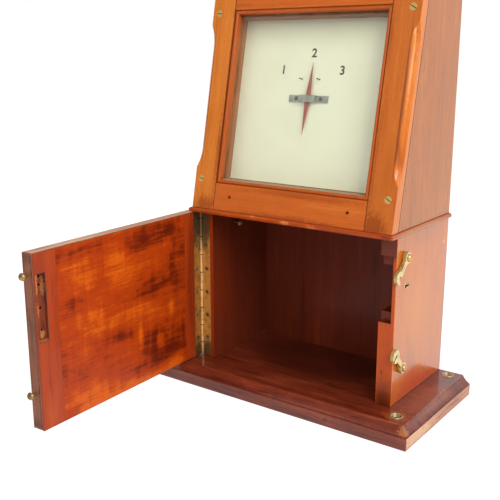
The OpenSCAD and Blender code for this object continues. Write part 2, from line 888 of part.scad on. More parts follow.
module frame_screws() {
    color([0.85, 0.68, 0.36]) {
        at_frame_screws() countersunk(frame_head_r, frame_head_r / 2, frame_screw_len, -30);
        mirror([1, 0, 0]) at_frame_screws() countersunk(frame_head_r, frame_head_r / 2, frame_screw_len, 5);
    }
}

// One length of the bead along X, with mitred ends, its outer edge on Z = 0
module bead_strip(len) {
    depth = glass_y - board_fit;
    intersection() {
        translate([-len / 2, 0, 0]) rotate([90, 0, 90]) linear_extrude(len) {
            translate([bead_drop + bead_r, 0]) square([depth - bead_drop - bead_r, bead_w]);
            translate([bead_drop + bead_r, bead_w - bead_r]) circle(r = bead_r);
        }
        slab(0, depth) polygon([[-len / 2, 0], [len / 2, 0], [len / 2, wood_fit],
            [len / 2 - bead_w + wood_fit, bead_w], [bead_w - wood_fit - len / 2, bead_w], [-len / 2, wood_fit]]);
    }
}

module sight_bead() {
    color([0.7, 0.32, 0.12]) on_opening() for (turn = [0, 180]) rotate([0, turn, 0]) {
        translate([0, 0, -open_h / 2]) bead_strip(open_w);
        rotate([0, 90, 0]) translate([0, 0, -open_w / 2]) bead_strip(open_h);
    }
}

module glass_pane() {
    half_w = open_w / 2 + glass_rebate - board_fit;
    half_h = open_h / 2 + glass_rebate - board_fit;
    color([0.85, 0.92, 0.9, 0.35]) on_opening()
        translate([-half_w, glass_y, -half_h]) cube([2 * half_w, glass_t, 2 * half_h]);
}

module dial_lining() {
    y = glass_y + glass_t;
    in_w = open_w - 2 * lining_side;
    in_h = open_h - 2 * lining_end;
    out_w = open_w + 2 * lining_wall;
    out_h = open_h + 2 * lining_wall;
    color([0.75, 0.5, 0.3]) on_opening() slab(y, dial_y - y) difference() {
        square([out_w, out_h], center = true);
        square([in_w, in_h], center = true);
    }
}

// Dial and movement

module at_bridge_screws() {
    for (x = [-1, 1])
        on_pivot() translate([x * bridge_screw_x, dial_y - bridge_t, 0]) rotate([90, 0, 0]) children();
}

module at_stop_pins() {
    for (x = [-1, 1]) on_pivot() translate([x * stop_x, dial_y - stop_out, stop_z]) rotate([-90, 0, 0]) children();
}

module arbor_hole() {
    on_pivot() rotate([-90, 0, 0]) cylinder(h = far, r = arbor_hole_r);
}

module dial_fixing_holes() {
    at_bridge_screws() translate([0, 0, -bridge_shank]) cylinder(h = bridge_shank + 1, r = bridge_shank_r + wood_fit);
    at_stop_pins() cylinder(h = stop_out + dial_t + board_t / 2, r = stop_r + wood_fit);
}

module dial_plate() {
    color([0.9, 0.9, 0.78]) difference() {
        on_opening() slab(dial_y, dial_t) square([open_w + 2 * dial_lap, open_h + 2 * dial_lap], center = true);
        arbor_hole();
        dial_fixing_holes();
    }
}

module at_board_screws() {
    out = opening_z - board_end - board_screw_in;
    for (z = [-out, out])
        on_opening() translate([inner_x - batten_w / 2, board_y, z]) rotate([90, 0, 0]) children();
}

module at_coil_feet() {
    foot_x = coil_gap / 2 + coil_len + foot_len / 2;
    for (z = [-1, 1])
        on_pivot() translate([foot_x, board_back + former_wall, z * (cock_w / 2 + foot_len)]) rotate([-90, 0, 0])
            children();
}

module at_cock_feet() {
    on_pivot() translate([cock_half + cock_t + foot_len / 2, board_back + cock_t, 0]) rotate([-90, 0, 0])
        children();
}

// A small round-headed screw of the movement
module movement_screw() {
    domed(foot_head_r, foot_head_h, foot_screw_r, foot_screw_len, 40);
}

module movement_screw_holes() {
    both_sides() {
        at_coil_feet() translate([0, 0, -foot_screw_len]) cylinder(h = far, r = foot_screw_r + wood_fit);
        at_cock_feet() translate([0, 0, -foot_screw_len]) cylinder(h = far, r = foot_screw_r + wood_fit);
    }
}

module movement_board() {
    half = inner_x - board_fit;
    color([0.55, 0.3, 0.18]) difference() {
        on_slope() translate([-half, board_y, board_end]) cube([2 * half, board_t, slope_len - 2 * board_end]);
        arbor_hole();
        dial_fixing_holes();
        both_sides() at_board_screws() countersunk_hole(board_head_r, board_head_r / 2, board_screw_len);
        movement_screw_holes();
    }
}

module board_battens() {
    color([0.6, 0.42, 0.25]) both_sides() difference() {
        on_slope() translate([inner_x - batten_w, board_back, board_end + batten_w])
            cube([batten_w, batten_w, slope_len - 2 * board_end - 2 * batten_w]);
        at_board_screws() countersunk_hole(board_head_r, board_head_r / 2, board_screw_len);
    }
}

module board_screws() {
    color([0.7, 0.55, 0.3]) both_sides() at_board_screws()
        countersunk(board_head_r, board_head_r / 2, board_screw_len, 60);
}

module bridge() {
    half = bridge_w / 2;
    rise = bridge_rise;
    color([0.62, 0.62, 0.58]) difference() {
        on_pivot() translate([0, dial_y, -bridge_h / 2]) linear_extrude(bridge_h) polygon([
            [-half, 0], [-bridge_mid, 0], [-bridge_mid, -rise], [bridge_mid, -rise], [bridge_mid, 0], [half, 0],
            [half, -bridge_t], [bridge_mid + bridge_t, -bridge_t], [bridge_mid + bridge_t, -rise - bridge_t],
            [-bridge_mid - bridge_t, -rise - bridge_t], [-bridge_mid - bridge_t, -bridge_t], [-half, -bridge_t]]);
        at_bridge_screws() translate([0, 0, -far / 2]) cylinder(h = far, r = bridge_shank_r + wood_fit);
        on_pivot() translate([0, bridge_y - 1, 0]) rotate([-90, 0, 0])
            cylinder(h = bridge_t + 2, r = pivot_r + run_fit);
    }
}

module bridge_screws() {
    color([0.5, 0.5, 0.48]) at_bridge_screws() domed(bridge_head_r, bridge_head_h, bridge_shank_r, bridge_shank, 25);
}

module stop_pins() {
    color([0.35, 0.33, 0.3]) at_stop_pins() cylinder(h = stop_out + dial_t + board_t / 2, r = stop_r);
}

module coil_former() {
    x = coil_gap / 2;
    foot_z = cock_w / 2 + foot_len;
    color([0.72, 0.56, 0.3]) difference() {
        on_pivot() {
            for (cheek = [x, x + coil_len - former_wall])
                translate([cheek, coil_y - coil_d / 2, -cheek_h]) cube([former_wall, coil_d, coil_h]);
            translate([x, coil_y, 0]) rotate([90, 0, 90]) linear_extrude(coil_len)
                square([coil_space_d + 2 * former_wall, coil_space_h + 2 * former_wall], center = true);
            for (z = [-foot_z, foot_z]) translate([x + coil_len - eps, board_back, z - foot_len / 2])
                cube([foot_len, former_wall, foot_len]);
        }
        on_pivot() translate([0, coil_y, 0])
            cube([far, coil_space_d, coil_space_h], center = true);
        at_coil_feet() translate([0, 0, -far / 2]) cylinder(h = far, r = foot_screw_r + wood_fit);
    }
}

module left_coil_former() {
    mirror([1, 0, 0]) coil_former();
}

module right_coil_former() {
    coil_former();
}

module winding() {
    core_d = coil_space_d + 2 * former_wall;
    core_h = coil_space_h + 2 * former_wall;
    x = coil_gap / 2 + former_wall + wood_fit;
    color([0.3, 0.5, 0.3]) on_pivot() translate([x, coil_y, 0]) rotate([90, 0, 90])
        linear_extrude(coil_len - 2 * former_wall - 2 * wood_fit) difference() {
            square([coil_d - 2 * winding_in, coil_h - 2 * winding_in], center = true);
            square([core_d + 2 * wood_fit, core_h + 2 * wood_fit], center = true);
        }
}

module left_winding() {
    mirror([1, 0, 0]) winding();
}

module right_winding() {
    winding();
}

module coil_screws() {
    color([0.7, 0.55, 0.3]) both_sides() at_coil_feet() movement_screw();
}

module rear_cock() {
    out = cock_half + cock_t;
    depth = cock_y - board_back;
    color([0.76, 0.6, 0.32]) difference() {
        on_pivot() translate([0, board_back, -cock_w / 2]) linear_extrude(cock_w) polygon([
            [-out - foot_len, 0], [-cock_half, 0], [-cock_half, depth], [cock_half, depth], [cock_half, 0],
            [out + foot_len, 0], [out + foot_len, cock_t], [out, cock_t], [out, depth + cock_t],
            [-out, depth + cock_t], [-out, cock_t], [-out - foot_len, cock_t]]);
        on_pivot() translate([0, cock_y - 1, 0]) rotate([-90, 0, 0]) cylinder(h = cock_t + 2, r = pivot_r + run_fit);
        both_sides() at_cock_feet() translate([0, 0, -far / 2]) cylinder(h = far, r = foot_screw_r + wood_fit);
    }
}

module rear_cock_screws() {
    color([0.7, 0.55, 0.3]) both_sides() at_cock_feet() movement_screw();
}

module at_terminals() {
    for (x = [-2, 0, 2])
        on_pivot() translate([x * terminal_half / 3, board_back + terminal_d, -terminal_drop]) rotate([-90, 0, 0])
            children();
}

module terminal_block() {
    color([0.12, 0.11, 0.1]) difference() {
        on_pivot() translate([-terminal_half, board_back, -terminal_drop - terminal_h / 2])
            cube([2 * terminal_half, terminal_d, terminal_h]);
        at_terminals() translate([0, 0, -terminal_in]) cylinder(h = terminal_d, r = terminal_r + wood_fit);
    }
}

module terminals() {
    color([0.8, 0.63, 0.32]) at_terminals() {
        translate([0, 0, -terminal_in]) cylinder(h = terminal_in + terminal_out, r = terminal_r);
        cylinder(h = terminal_collar, r = terminal_nut_r);
        translate([0, 0, 2 * terminal_collar]) cylinder(h = terminal_nut, r = terminal_nut_r);
    }
}

module lead_wires() {
    coil_x = coil_gap / 2 + coil_len / 2;
    post_x = terminal_half * 2 / 3;
    low_z = -terminal_drop + terminal_r + wire_r;
    mid_z = (low_z - cheek_h) / 2;
    wire_y = board_back + terminal_d + terminal_collar + wire_r;
    color([0.25, 0.4, 0.25]) both_sides() on_pivot() {
        translate([coil_x, wire_y, mid_z]) cylinder(h = winding_in - cheek_h - mid_z - wood_fit, r = wire_r);
        translate([coil_x, wire_y, mid_z]) sphere(r = wire_bend_r);
        translate([min(coil_x, post_x), wire_y, mid_z]) rotate([0, 90, 0])
            cylinder(h = abs(post_x - coil_x) + eps, r = wire_r);
        translate([post_x, wire_y, mid_z]) sphere(r = wire_bend_r);
        translate([post_x, wire_y, low_z]) cylinder(h = mid_z - low_z, r = wire_r);
    }
}

module needle() {
    color([0.65, 0.25, 0.22]) on_pivot() rotate([0, needle_rest, 0]) slab(needle_y, needle_t) difference() {
        polygon([[0, needle_len / 2], [needle_w / 2, 0], [0, -needle_len / 2], [-needle_w / 2, 0]]);
        circle(r = arbor_r + wood_fit);
    }
}

module needle_collet() {
    color([0.78, 0.62, 0.32]) on_pivot() translate([0, needle_y + needle_t, 0]) rotate([-90, 0, 0]) difference() {
        cylinder(h = needle_gap - collet_clear, r = collet_r);
        translate([0, 0, -1]) cylinder(h = far, r = arbor_r + wood_fit);
    }
}

module arbor() {
    shoulder = bridge_y + bridge_t + pass_fit;
    rear = cock_y - pass_fit;
    color([0.55, 0.55, 0.56]) on_pivot() rotate([-90, 0, 0]) {
        translate([0, 0, bridge_y + pass_fit]) cylinder(h = shoulder - bridge_y - pass_fit + eps, r = pivot_r);
        translate([0, 0, shoulder]) cylinder(h = rear - shoulder, r = arbor_r);
        translate([0, 0, rear - eps]) cylinder(h = cock_t + pass_fit, r = pivot_r);
    }
}

module magnet_bar() {
    tip = magnet_w / 3;
    color([0.3, 0.32, 0.36]) on_pivot() rotate([0, needle_rest, 0]) slab(coil_y - magnet_t / 2, magnet_t)
        difference() {
            polygon([[-tip, magnet_len / 2], [tip, magnet_len / 2], [magnet_w / 2, 0], [tip, -magnet_len / 2],
                [-tip, -magnet_len / 2], [-magnet_w / 2, 0]]);
            circle(r = arbor_r + wood_fit);
        }
}

// Door, drawn closed and then opened

module door_board(x0, x1) {
    translate([x0, door_in_y - door_t, door_z]) cube([x1 - x0, door_t, door_h]);
}

module door_panel() {
    color([0.72, 0.26, 0.08]) opened() door_board(door_hinge_x + clamp_w, door_free_x - clamp_w);
}

module door_hinge_clamp() {
    color([0.66, 0.24, 0.09]) opened() difference() {
        door_board(door_hinge_x, door_hinge_x + clamp_w);
        hinge_clearance();
        at_door_leaf_screws() countersunk_hole(leaf_head_r, leaf_screw_r, leaf_screw_len);
    }
}

module at_studs() {
    for (height = [lower_hook_z, upper_hook_z])
        translate([door_free_x, door_mid_y, base_t + height]) rotate([0, 90, 0]) children();
}

module door_free_clamp() {
    keep_x = door_free_x - keep_in - keep_w;
    keep_z = door_z + door_h - keep_drop - keep_h;
    color([0.66, 0.24, 0.09]) opened() difference() {
        door_board(door_free_x - clamp_w, door_free_x);
        translate([keep_x, door_in_y - keep_depth, keep_z]) cube([keep_w, far, keep_h]);
        for (drop = keep_holes)
            translate([keep_x + keep_w - keep_hole_in, door_in_y, keep_z + keep_h - drop]) rotate([90, 0, 0])
                cylinder(h = keep_depth + keep_hole_depth, r = keep_hole_r);
        at_studs() translate([0, 0, -stud_len]) cylinder(h = far, r = stud_r + wood_fit);
    }
}

module door_studs() {
    stand = head_x - door_free_x;
    color([0.75, 0.6, 0.35]) opened() at_studs() translate([0, 0, stand])
        domed(dome_r, dome_h, stud_r, stud_len + stand, 15);
}

// Hinge: knuckles of one leaf are the even ones, of the other the odd ones

// Where knuckle i starts and ends, down from the top of the leaf
function knuckle_start(i) = i == 0 ? 0 : knuckle_first + (i - 1) * knuckle_pitch;
function knuckle_end(i) = i == knuckles - 1 ? door_h : knuckle_first + i * knuckle_pitch;
function knuckle_len(i) = knuckle_end(i) - knuckle_start(i);

// At the lower end of knuckle i
module at_knuckle(i) {
    translate([0, 0, door_z + door_h - knuckle_end(i)]) children();
}

// A leaf that lies on the side given by y0, with the knuckles from the first one on, in twos
module hinge_leaf(y0, first) {
    reach = knuckle_r + pass_fit;
    difference() {
        union() {
            translate([pin_x, y0, door_z]) cube([leaf_w, leaf_t, door_h]);
            for (i = [first : 2 : knuckles - 1])
                at_knuckle(i) translate([pin_x, pin_y, knuckle_gap / 2])
                    cylinder(h = knuckle_len(i) - knuckle_gap, r = knuckle_r);
        }
        for (i = [1 - first : 2 : knuckles - 1])
            at_knuckle(i) translate([pin_x - reach, pin_y - reach, -knuckle_gap / 2])
                cube([2 * reach, 2 * reach, knuckle_len(i) + knuckle_gap]);
        translate([pin_x, pin_y, 0]) cylinder(h = far, r = pin_r + run_fit);
    }
}

module hinge_case_leaf() {
    color([0.65, 0.47, 0.22]) difference() {
        hinge_leaf(-wall_y - leaf_t, 0);
        at_case_leaf_screws() countersunk_hole(leaf_head_r, leaf_screw_r, leaf_screw_len);
    }
}

module hinge_door_leaf() {
    color([0.65, 0.47, 0.22]) opened() difference() {
        hinge_leaf(door_in_y, 1);
        at_door_leaf_screws() countersunk_hole(leaf_head_r, leaf_screw_r, leaf_screw_len);
    }
}

module hinge_pin() {
    color([0.6, 0.48, 0.28]) translate([pin_x, pin_y, door_z]) cylinder(h = door_h, r = pin_r);
}

module case_leaf_screws() {
    color([0.35, 0.28, 0.2]) at_case_leaf_screws() countersunk(leaf_head_r, leaf_screw_r, leaf_screw_len, 70);
}

module door_leaf_screws() {
    color([0.35, 0.28, 0.2]) opened() at_door_leaf_screws() countersunk(leaf_head_r, leaf_screw_r, leaf_screw_len, 20);
}

// Hooks: drawn level and pointing forward, with the slot open downwards

// A flared mouth widens towards the tip, and its inner lip ends at the stem
module hook_shape(flare) {
    slot_half = stud_r + pass_fit;
    reach = 2 * hook_head_r;
    difference() {
        union() {
            circle(r = hook_boss_r);
            translate([-hook_len, -hook_stem_w / 2]) square([hook_len, hook_stem_w]);
            translate([-hook_len, 0]) circle(r = hook_head_r);
        }
        circle(r = pivot_screw_r + run_fit);
        translate([-hook_len, 0]) circle(r = slot_half);
        translate([-hook_len, 0]) polygon([[slot_half, 0], [-slot_half, 0],
            [-slot_half - reach * tan(flare), -reach], [slot_half, -reach]]);
        if (flare > 0)
            translate([-hook_len, -reach]) square([reach, reach - hook_stem_w / 2]);
    }
}

// A hook at the given height, tipped up by the given angle
module hook(height, up, flare = 0) {
    color([0.8, 0.66, 0.4]) translate([hook_x, hook_y, base_t + height]) rotate([-up, 0, 0])
        rotate([90, 0, 90]) linear_extrude(hook_t) hook_shape(flare);
}

module hook_screw(height, turn) {
    color([0.85, 0.7, 0.42]) translate([head_x - case_w / 2, 0, 0]) at_hook(height)
        domed(dome_r, dome_h, pivot_screw_r, stud_len, turn);
}

module hook_washer(height) {
    color([0.7, 0.55, 0.3]) at_hook(height) difference() {
        cylinder(h = washer_t - wood_fit, r = washer_r);
        translate([0, 0, -1]) cylinder(h = 3, r = pivot_screw_r + wood_fit);
    }
}

module upper_hook() {
    hook(upper_hook_z, -upper_hook_rest, upper_hook_flare);
}

module upper_hook_screw() {
    hook_screw(upper_hook_z, 80);
}

module upper_hook_washer() {
    hook_washer(upper_hook_z);
}

module lower_hook() {
    hook(lower_hook_z, lower_hook_rest);
}

module lower_hook_screw() {
    hook_screw(lower_hook_z, 35);
}

module lower_hook_washer() {
    hook_washer(lower_hook_z);
}

base_board();
base_cups();
base_fixing_screws();
lower_left_side();
lower_right_side();
lower_back_board();
keyhole_lining();
wall_stud();
waist_board();
glue_blocks();
upper_left_side();
upper_right_side();
upper_back_panel();
back_panel_screws();
top_board();
left_stile();
right_stile();
bottom_rail();
top_rail();
frame_screws();
sight_bead();
glass_pane();
dial_lining();
dial_plate();
movement_board();
board_battens();
board_screws();
bridge();
bridge_screws();
stop_pins();
left_coil_former();
right_coil_former();
left_winding();
right_winding();
coil_screws();
rear_cock();
rear_cock_screws();
terminal_block();
terminals();
lead_wires();
needle();
needle_collet();
arbor();
magnet_bar();
door_panel();
door_free_clamp();
door_hinge_clamp();
hinge_case_leaf();
hinge_door_leaf();
hinge_pin();
case_leaf_screws();
door_leaf_screws();
door_studs();
upper_hook();
upper_hook_screw();
upper_hook_washer();
lower_hook();
lower_hook_screw();
lower_hook_washer();
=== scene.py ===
import bmesh
import bpy
import math
from mathutils import Euler, Matrix, Vector


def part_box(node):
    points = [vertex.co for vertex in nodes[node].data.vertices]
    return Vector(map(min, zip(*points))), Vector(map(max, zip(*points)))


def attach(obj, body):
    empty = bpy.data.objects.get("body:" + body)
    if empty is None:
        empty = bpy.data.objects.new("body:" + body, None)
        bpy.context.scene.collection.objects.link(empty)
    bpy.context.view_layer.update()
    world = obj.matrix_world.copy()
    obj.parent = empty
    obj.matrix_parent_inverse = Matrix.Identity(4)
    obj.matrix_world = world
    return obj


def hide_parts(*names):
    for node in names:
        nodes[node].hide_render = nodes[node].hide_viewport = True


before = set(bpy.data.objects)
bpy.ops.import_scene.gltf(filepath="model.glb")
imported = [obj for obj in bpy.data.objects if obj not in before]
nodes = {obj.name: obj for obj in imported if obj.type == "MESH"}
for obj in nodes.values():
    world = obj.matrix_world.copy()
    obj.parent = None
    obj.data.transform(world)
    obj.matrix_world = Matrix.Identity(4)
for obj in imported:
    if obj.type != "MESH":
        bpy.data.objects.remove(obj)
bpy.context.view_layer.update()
print("frame loaded:", len(nodes), "nodes")

mm = 0.001
caseHalf = 127  # half the case's width, and where its outer sides stand
caseFront = -63.5  # the front edges of the lower sides
squareOn = 0.9  # a face looks along a direction when its normal's share of it is above this

# Sloping front: x across, y into the case, z up the slope from its bottom edge
leanDegrees = 11.3
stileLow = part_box("left_stile")[0]
slope = Matrix.Translation((0, stileLow[1], stileLow[2]))
slope = slope @ Matrix.Rotation(math.radians(-leanDegrees), 4, "X")


def onSlope(x, y, z):
    return slope @ Vector((x, y, z))


def shade(red, green, blue):
    # A colour as the eye reads it, 0 to 255, made linear
    def linear(value):
        value /= 255
        return value / 12.92 if value <= 0.04045 else ((value + 0.055) / 1.055) ** 2.4
    return (linear(red), linear(green), linear(blue), 1)


def addObject(name, data):
    made = bpy.data.objects.new(name, data)
    bpy.context.scene.collection.objects.link(made)
    return made


# Node helpers

def emptyTree(owner):
    owner.use_nodes = True
    owner.node_tree.nodes.clear()
    return owner.node_tree


def addNode(tree, kind, settings=None, inputs=None):
    made = tree.nodes.new("ShaderNode" + kind)
    made.location = (180 * (len(tree.nodes) % 9), -190 * (len(tree.nodes) // 9))
    for label, value in (settings or {}).items():
        setattr(made, label, value)
    for label, value in (inputs or {}).items():
        if isinstance(value, bpy.types.NodeSocket):
            tree.links.new(value, made.inputs[label])
        else:
            made.inputs[label].default_value = value
    return made


def calc(tree, operation, first, second=0.0, third=0.0, clamp=False):
    settings = {"operation": operation, "use_clamp": clamp}
    return addNode(tree, "Math", settings, {0: first, 1: second, 2: third}).outputs[0]


def stretch(tree, vector, factors):
    settings = {"operation": "MULTIPLY"}
    return addNode(tree, "VectorMath", settings, {0: vector, 1: factors}).outputs[0]


def noise(tree, vector, factors, detail=2.0, roughness=0.5, distortion=0.0):
    inputs = {"Vector": stretch(tree, vector, factors), "Scale": 1.0, "Detail": detail,
              "Roughness": roughness, "Distortion": distortion}
    return addNode(tree, "TexNoise", None, inputs).outputs["Fac"]


def ease(tree, value, low, high):
    inputs = {"Value": value, "From Min": low, "From Max": high}
    return addNode(tree, "MapRange", {"interpolation_type": "SMOOTHSTEP"}, inputs).outputs["Result"]


def mixColors(tree, factor, first, second, blend="MIX"):
    settings = {"data_type": "RGBA", "blend_type": blend}
    return addNode(tree, "Mix", settings, {0: factor, 6: first, 7: second}).outputs[2]


def newGroup(name, inputs, outputs):
    tree = bpy.data.node_groups.new(name, "ShaderNodeTree")
    kinds = {"v": "NodeSocketVector", "c": "NodeSocketColor", "f": "NodeSocketFloat"}
    for label, kind, value in inputs:
        socket = tree.interface.new_socket(name=label, in_out="INPUT", socket_type=kinds[kind])
        if value is not None:
            socket.default_value = value
    for label, kind in outputs:
        tree.interface.new_socket(name=label, in_out="OUTPUT", socket_type=kinds[kind])
    entry = tree.nodes.new("NodeGroupInput")
    return tree, entry.outputs, tree.nodes.new("NodeGroupOutput")


def finishGroup(tree, leave, results):
    for label, socket in results.items():
        tree.links.new(socket, leave.inputs[label])
    return tree


def makeWoodGrain():
    # Polished cabinet wood, with the grain along X of its position
    tree, given, leave = newGroup(
        "Wood grain",
        [("Position", "v", None), ("Dark", "c", None), ("Middle", "c", None), ("Light", "c", None),
         ("Streaks", "f", 0.6), ("Figure", "f", 0.2), ("Cloud", "f", 0.3), ("Flecks", "f", 0.3),
         ("Gloss", "f", 0.35), ("Cloud size", "v", (9, 19, 19)), ("Tone", "f", 0.0)],
        [("Color", "c"), ("Roughness", "f"), ("Height", "f")])
    place = given["Position"]
    warp = addNode(tree, "TexNoise", None, {"Vector": stretch(tree, place, (5, 14, 14)), "Scale": 1.0})
    drift = addNode(tree, "VectorMath", {"operation": "MULTIPLY_ADD"},
                    {0: warp.outputs["Color"], 1: (0, 0.012, 0.012), 2: place}).outputs[0]
    bands = noise(tree, drift, (4, 130, 130), 5, 0.66)
    fibres = noise(tree, drift, (26, 620, 620), 3, 0.62)
    cloud = noise(tree, drift, given["Cloud size"], 5, 0.58, 0.6)
    ripple = noise(tree, drift, (120, 20, 20), 2, 0.5, 0.5)
    pores = ease(tree, noise(tree, place, (210, 2300, 2300), 1), 0.6, 0.72)
    flecks = ease(tree, noise(tree, drift, (55, 780, 780), 2, 0.5), 0.6, 0.74)
    parts = [(bands, given["Streaks"], 2.6), (fibres, given["Streaks"], 1.8), (cloud, given["Cloud"], 2.6),
             (ripple, given["Figure"], 1.5)]
    tone = calc(tree, "ADD", given["Tone"], 0.5)
    for value, amount, gain in parts:
        swing = calc(tree, "MULTIPLY", calc(tree, "SUBTRACT", value, 0.5), gain)
        tone = calc(tree, "MULTIPLY_ADD", swing, amount, tone)
    low = mixColors(tree, ease(tree, tone, 0.05, 0.5), given["Dark"], given["Middle"])
    full = mixColors(tree, ease(tree, tone, 0.5, 0.95), low, given["Light"])
    poreDepth = calc(tree, "MULTIPLY", calc(tree, "MAXIMUM", pores, flecks), given["Flecks"])
    color = mixColors(tree, poreDepth, full, mixColors(tree, 0.6, full, (0, 0, 0, 1)))
    sheen = calc(tree, "MULTIPLY_ADD", calc(tree, "SUBTRACT", cloud, 0.5), 0.25, given["Gloss"])
    rough = calc(tree, "MULTIPLY_ADD", poreDepth, 0.2, sheen, True)
    height = calc(tree, "SUBTRACT", calc(tree, "MULTIPLY", fibres, 0.5), poreDepth)
    return finishGroup(tree, leave, {"Color": color, "Roughness": rough, "Height": height})


def makeAgedMetal():
    # Brass, steel or zinc with patches of tarnish and fine scratches
    tree, given, leave = newGroup(
        "Aged metal",
        [("Position", "v", None), ("Bright", "c", None), ("Dull", "c", None), ("Tarnish", "f", 0.4),
         ("Gloss", "f", 0.3)],
        [("Color", "c"), ("Roughness", "f"), ("Height", "f")])
    place = given["Position"]
    patches = noise(tree, place, (140, 140, 140), 3, 0.5, 0.3)
    grit = noise(tree, place, (1500, 1500, 1500), 2, 0.6)
    scratches = noise(tree, place, (300, 300, 5200), 1, 0.5)
    amount = calc(tree, "ADD", patches, calc(tree, "SUBTRACT", given["Tarnish"], 0.5))
    amount = calc(tree, "MULTIPLY_ADD", calc(tree, "SUBTRACT", grit, 0.5), 0.2, amount)
    amount = ease(tree, amount, 0.3, 0.72)
    color = mixColors(tree, amount, given["Bright"], given["Dull"])
    rough = calc(tree, "MULTIPLY_ADD", amount, 0.25, given["Gloss"])
    rough = calc(tree, "MULTIPLY_ADD", calc(tree, "SUBTRACT", scratches, 0.5), 0.12, rough, True)
    height = calc(tree, "MULTIPLY_ADD", scratches, 0.4, calc(tree, "MULTIPLY", grit, 0.6))
    return finishGroup(tree, leave, {"Color": color, "Roughness": rough, "Height": height})


def makePatch():
    # A soft-edged, ragged patch: dirt, wear, a dent, painted light or painted shade
    tree, given, leave = newGroup(
        "Local patch",
        [("Position", "v", None), ("Centre", "v", None), ("Reach", "v", None), ("Ragged", "f", 0.4),
         ("Grain", "v", (300, 300, 300)), ("Soft", "f", 0.55)],
        [("Mask", "f")])
    apart = {0: given["Position"], 1: given["Centre"]}
    offset = addNode(tree, "VectorMath", {"operation": "SUBTRACT"}, apart)
    share = addNode(tree, "VectorMath", {"operation": "DIVIDE"}, {0: offset.outputs[0], 1: given["Reach"]})
    distance = addNode(tree, "VectorMath", {"operation": "LENGTH"}, {0: share.outputs[0]}).outputs["Value"]
    broken = calc(tree, "SUBTRACT", noise(tree, given["Position"], given["Grain"], 4, 0.65), 0.5)
    edge = calc(tree, "MULTIPLY_ADD", broken, calc(tree, "MULTIPLY", given["Ragged"], 3.0), distance)
    full = calc(tree, "SUBTRACT", 1.0, given["Soft"])
    return finishGroup(tree, leave, {"Mask": ease(tree, edge, 1.0, full)})


def makeSeam():
    # Thin dark lines across a surface: old polish and dirt in a joint, and painted shade in the hinge's
    # knuckle gaps, repeated at every pitch
    tree, given, leave = newGroup(
        "Seam line",
        [("Position", "v", None), ("Across", "v", (1, 0, 0)), ("Offset", "f", 0.0), ("Pitch", "f", 20.0),
         ("Width", "f", 0.0004), ("Ragged", "f", 0.5)],
        [("Mask", "f")])
    both = {0: given["Position"], 1: given["Across"]}
    along = addNode(tree, "VectorMath", {"operation": "DOT_PRODUCT"}, both).outputs["Value"]
    halfPitch = calc(tree, "MULTIPLY", given["Pitch"], 0.5)
    away = calc(tree, "PINGPONG", calc(tree, "SUBTRACT", along, given["Offset"]), halfPitch)
    broken = calc(tree, "SUBTRACT", noise(tree, given["Position"], (260, 260, 260), 3, 0.6), 0.5)
    share = calc(tree, "DIVIDE", away, given["Width"])
    edge = calc(tree, "MULTIPLY_ADD", calc(tree, "MULTIPLY", broken, given["Ragged"]), 3.0, share)
    return finishGroup(tree, leave, {"Mask": ease(tree, edge, 1.0, 0.3)})


groups = {"grain": makeWoodGrain(), "metal": makeAgedMetal(), "patch": makePatch(), "seam": makeSeam()}
print("node groups made:", len(groups))


# Materials

coatRoughness = 0.1


def startMaterial(name, coat=0.0, metallic=0.0, specular=0.5, specularTint=(1, 1, 1)):
    made = bpy.data.materials.new(name)
    tree = emptyTree(made)
    shader = addNode(tree, "BsdfPrincipled", None, {
        "Coat Weight": coat, "Coat Roughness": coatRoughness, "Metallic": metallic,
        "Specular IOR Level": specular, "Specular Tint": (*specularTint, 1)})
    addNode(tree, "OutputMaterial", None, {"Surface": shader.outputs[0]})
    position = addNode(tree, "TexCoord").outputs["Object"]
    return made, tree, shader, position


def useGroup(tree, name, inputs):
    return addNode(tree, "Group", {"node_tree": groups[name]}, inputs).outputs


def makeMark(at, reach, color=(0, 0, 0), strength=1.0, ragged=0.4, soft=0.55, grain=(300, 300, 300)):
    # A patch of dirt, wear, stain, painted light or painted shade: its middle and its reach are in
    # millimetres on the object
    return {"at": at, "reach": reach, "color": shade(*color), "strength": strength, "ragged": ragged,
            "soft": soft, "grain": grain}


def patchMask(tree, position, mark):
    return useGroup(tree, "patch", {
        "Position": position, "Centre": Vector(mark["at"]) * mm, "Reach": Vector(mark["reach"]) * mm,
        "Ragged": mark["ragged"], "Grain": mark["grain"], "Soft": mark["soft"]})["Mask"]


def addMarks(tree, position, color, marks):
    # Marks that cover the wood or metal with a colour of their own
    for mark in marks:
        share = calc(tree, "MULTIPLY", patchMask(tree, position, mark), mark["strength"])
        color = mixColors(tree, share, color, mark["color"])
    return color


def addFigure(tree, position, figure):
    # Marks that make the wood's own grain lighter or darker
    tone = 0.0
    for mark in figure:
        tone = calc(tree, "MULTIPLY_ADD", patchMask(tree, position, mark), mark["tone"], tone)
    return tone


def addSeams(tree, position, color, seams):
    # Each seam: the direction across it and its place along that, in millimetres
    for given in seams:
        seam = {**seamBasis, **given}
        mask = useGroup(tree, "seam", {
            "Position": position, "Across": Vector(seam["across"]), "Offset": seam["at"] * mm,
            "Pitch": seam["pitch"] * mm, "Width": seam["width"] * mm, "Ragged": seam["ragged"]})["Mask"]
        strength = calc(tree, "MULTIPLY", mask, seam["strength"])
        color = mixColors(tree, strength, color, seam["color"])
    return color


def wireSurface(tree, shader, color, rough, height, depth):
    tree.links.new(color, shader.inputs["Base Color"])
    tree.links.new(rough, shader.inputs["Roughness"])
    bump = addNode(tree, "Bump", None, {"Height": height, "Distance": depth * mm, "Strength": 1.0})
    tree.links.new(bump.outputs[0], shader.inputs["Normal"])


# What a seam has where it doesn't say; this pitch is so long that the seam comes once
seamBasis = {"pitch": 20000, "width": 0.5, "ragged": 0.5, "strength": 0.8, "color": shade(70, 26, 10)}
bumpDepth = {"wood": 0.06, "metal": 0.006}
shiftShares = (1, 0.37, 0.61)  # how far a shift moves the grain each way

